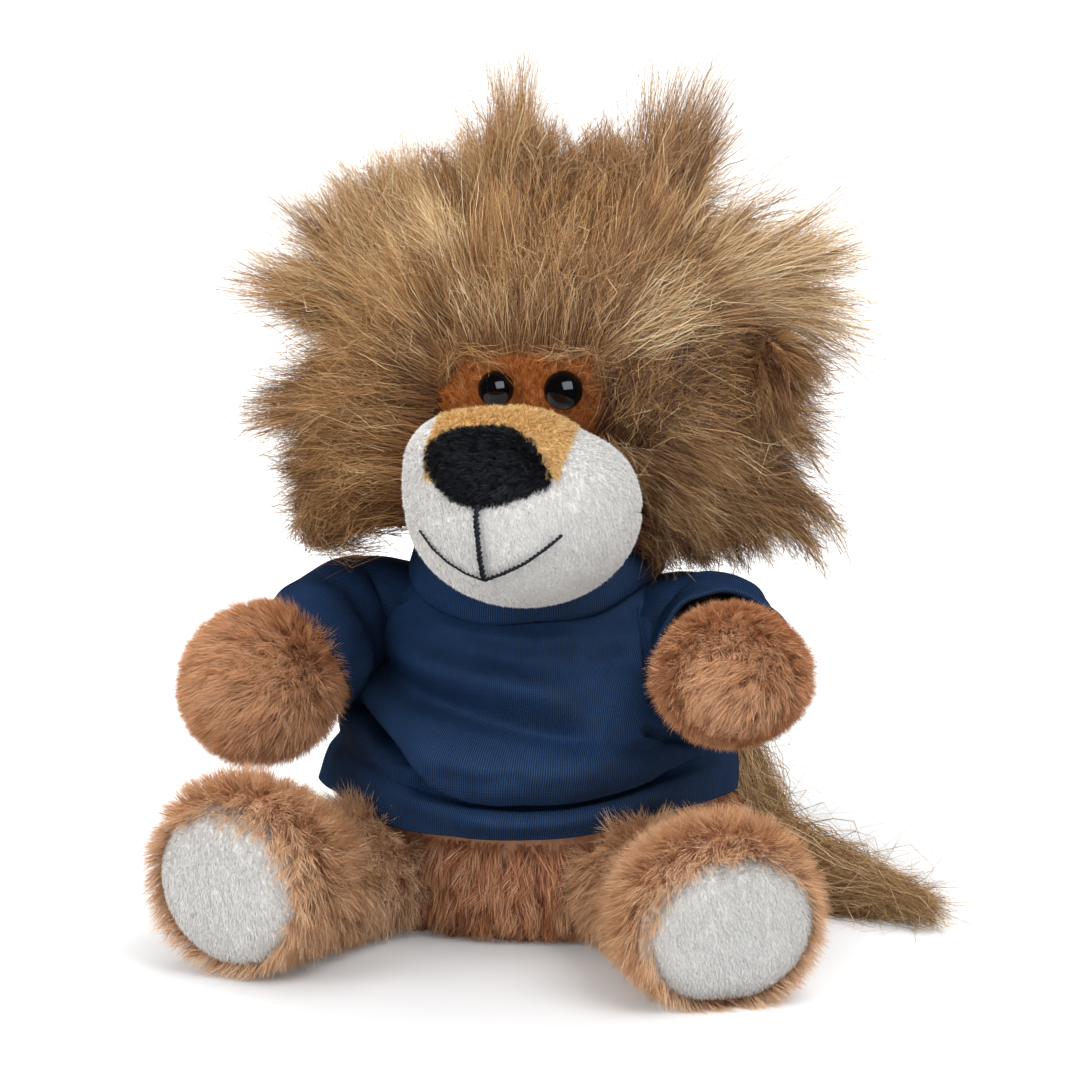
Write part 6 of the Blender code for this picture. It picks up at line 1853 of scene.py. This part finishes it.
plush("tail_root_fur", roots, outs, along, FUR_TAN, "tail", rng, STEM_PILE, 0.14 * MM,
      lift=0.5, clump_count=240, pull=0.3, curl=0.25, tone=0.4)

# Floor and light

def softbox(name, place, size, power, colour=(1, 1, 1), aim=(0.0, 0.0, 0.08)):
    """A square soft light that faces the object."""
    light = bpy.data.lights.new(name, "AREA")
    light.shape = "RECTANGLE"
    light.size, light.size_y = size
    light.energy = power
    light.color = colour
    item = bpy.data.objects.new(name, light)
    scene.collection.objects.link(item)
    item.location = place
    way = Vector(aim) - Vector(place)
    item.rotation_euler = way.to_track_quat("-Z", "Y").to_euler()
    return item


softbox("softbox_right", (0.66, -0.48, 1.06), (0.85, 0.6), 10.5, (0.96, 0.98, 1.0)).visible_glossy = False
window = softbox("softbox_window", (0.84, -1.0, 0.92), (1.5, 1.15), 36.0, (0.8, 0.9, 1.0))
window.visible_diffuse = False
softbox("softbox_left", (-1.3, -1.5, 0.95), (1.5, 1.2), 30).visible_glossy = False
softbox("softbox_top", (-0.1, 0.4, 1.5), (1.4, 1.0), 12).visible_glossy = False

world = bpy.data.worlds.new("studio")
scene.world = world
world.use_nodes = True
nodes, links = world.node_tree.nodes, world.node_tree.links
base = nodes["Background"]
base.inputs["Color"].default_value = (1.0, 0.995, 0.985, 1)
base.inputs["Strength"].default_value = 0.62
white = nodes.new("ShaderNodeBackground")
white.inputs["Color"].default_value = (1, 1, 1, 1)
white.inputs["Strength"].default_value = 1.0
path = nodes.new("ShaderNodeLightPath")
mix = nodes.new("ShaderNodeMixShader")
links.new(path.outputs["Is Camera Ray"], mix.inputs["Fac"])
dim = nodes.new("ShaderNodeBackground")
dim.inputs["Strength"].default_value = 0.06
shine = nodes.new("ShaderNodeMixShader")
links.new(path.outputs["Is Glossy Ray"], shine.inputs["Fac"])
links.new(base.outputs["Background"], shine.inputs[1])
links.new(dim.outputs["Background"], shine.inputs[2])
links.new(shine.outputs["Shader"], mix.inputs[1])
links.new(white.outputs["Background"], mix.inputs[2])
links.new(mix.outputs["Shader"], nodes["World Output"].inputs["Surface"])

floor_mesh = bpy.data.meshes.new("floor")
half = 6.0
floor_corners = [(-half, -half, 0), (half, -half, 0), (half, half, 0), (-half, half, 0)]
floor_mesh.from_pydata(floor_corners, [], [(0, 1, 2, 3)])
floor = bpy.data.objects.new("floor", floor_mesh)
scene.collection.objects.link(floor)
material, shader, nodes, links = blank("floor_white", 0.35, 0.25)
shader.inputs["Base Color"].default_value = (0.70, 0.705, 0.71, 1)
# The floor glows for camera rays only, a painted light that turns the far floor white; the glow fades in an
# oval round the object, which leaves a broad painted shade there along with the floor's own shadow.
glow = nodes.new("ShaderNodeEmission")
glow.inputs["Color"].default_value = (1, 1, 1, 1)
glow.inputs["Strength"].default_value = 1.0
place = nodes.new("ShaderNodeNewGeometry")
oval = nodes.new("ShaderNodeVectorMath")
oval.operation = "MULTIPLY"
oval.inputs[1].default_value = (1.5, 0.6, 0.0)
links.new(place.outputs["Position"], oval.inputs[0])
far = nodes.new("ShaderNodeVectorMath")
far.operation = "LENGTH"
links.new(oval.outputs["Vector"], far.inputs[0])
spread = nodes.new("ShaderNodeMapRange")
for socket, value in zip(("From Min", "From Max", "To Min", "To Max"), (0.08, 0.2, 0.085, 1.0)):
    spread.inputs[socket].default_value = value
links.new(far.outputs["Value"], spread.inputs["Value"])
links.new(spread.outputs["Result"], glow.inputs["Strength"])
path = nodes.new("ShaderNodeLightPath")
plain = nodes.new("ShaderNodeMixShader")
nothing = nodes.new("ShaderNodeEmission")
nothing.inputs["Strength"].default_value = 0.0
links.new(path.outputs["Is Camera Ray"], plain.inputs["Fac"])
links.new(nothing.outputs["Emission"], plain.inputs[1])
links.new(glow.outputs["Emission"], plain.inputs[2])
added = nodes.new("ShaderNodeAddShader")
links.new(shader.outputs["BSDF"], added.inputs[0])
links.new(plain.outputs["Shader"], added.inputs[1])
dark = nodes.new("ShaderNodeBsdfDiffuse")
dark.inputs["Color"].default_value = (0.03, 0.03, 0.035, 1)
mirrored = nodes.new("ShaderNodeMixShader")
links.new(path.outputs["Is Glossy Ray"], mirrored.inputs["Fac"])
links.new(added.outputs["Shader"], mirrored.inputs[1])
links.new(dark.outputs["BSDF"], mirrored.inputs[2])
links.new(mirrored.outputs["Shader"], nodes["Material Output"].inputs["Surface"])
floor_mesh.materials.append(material)
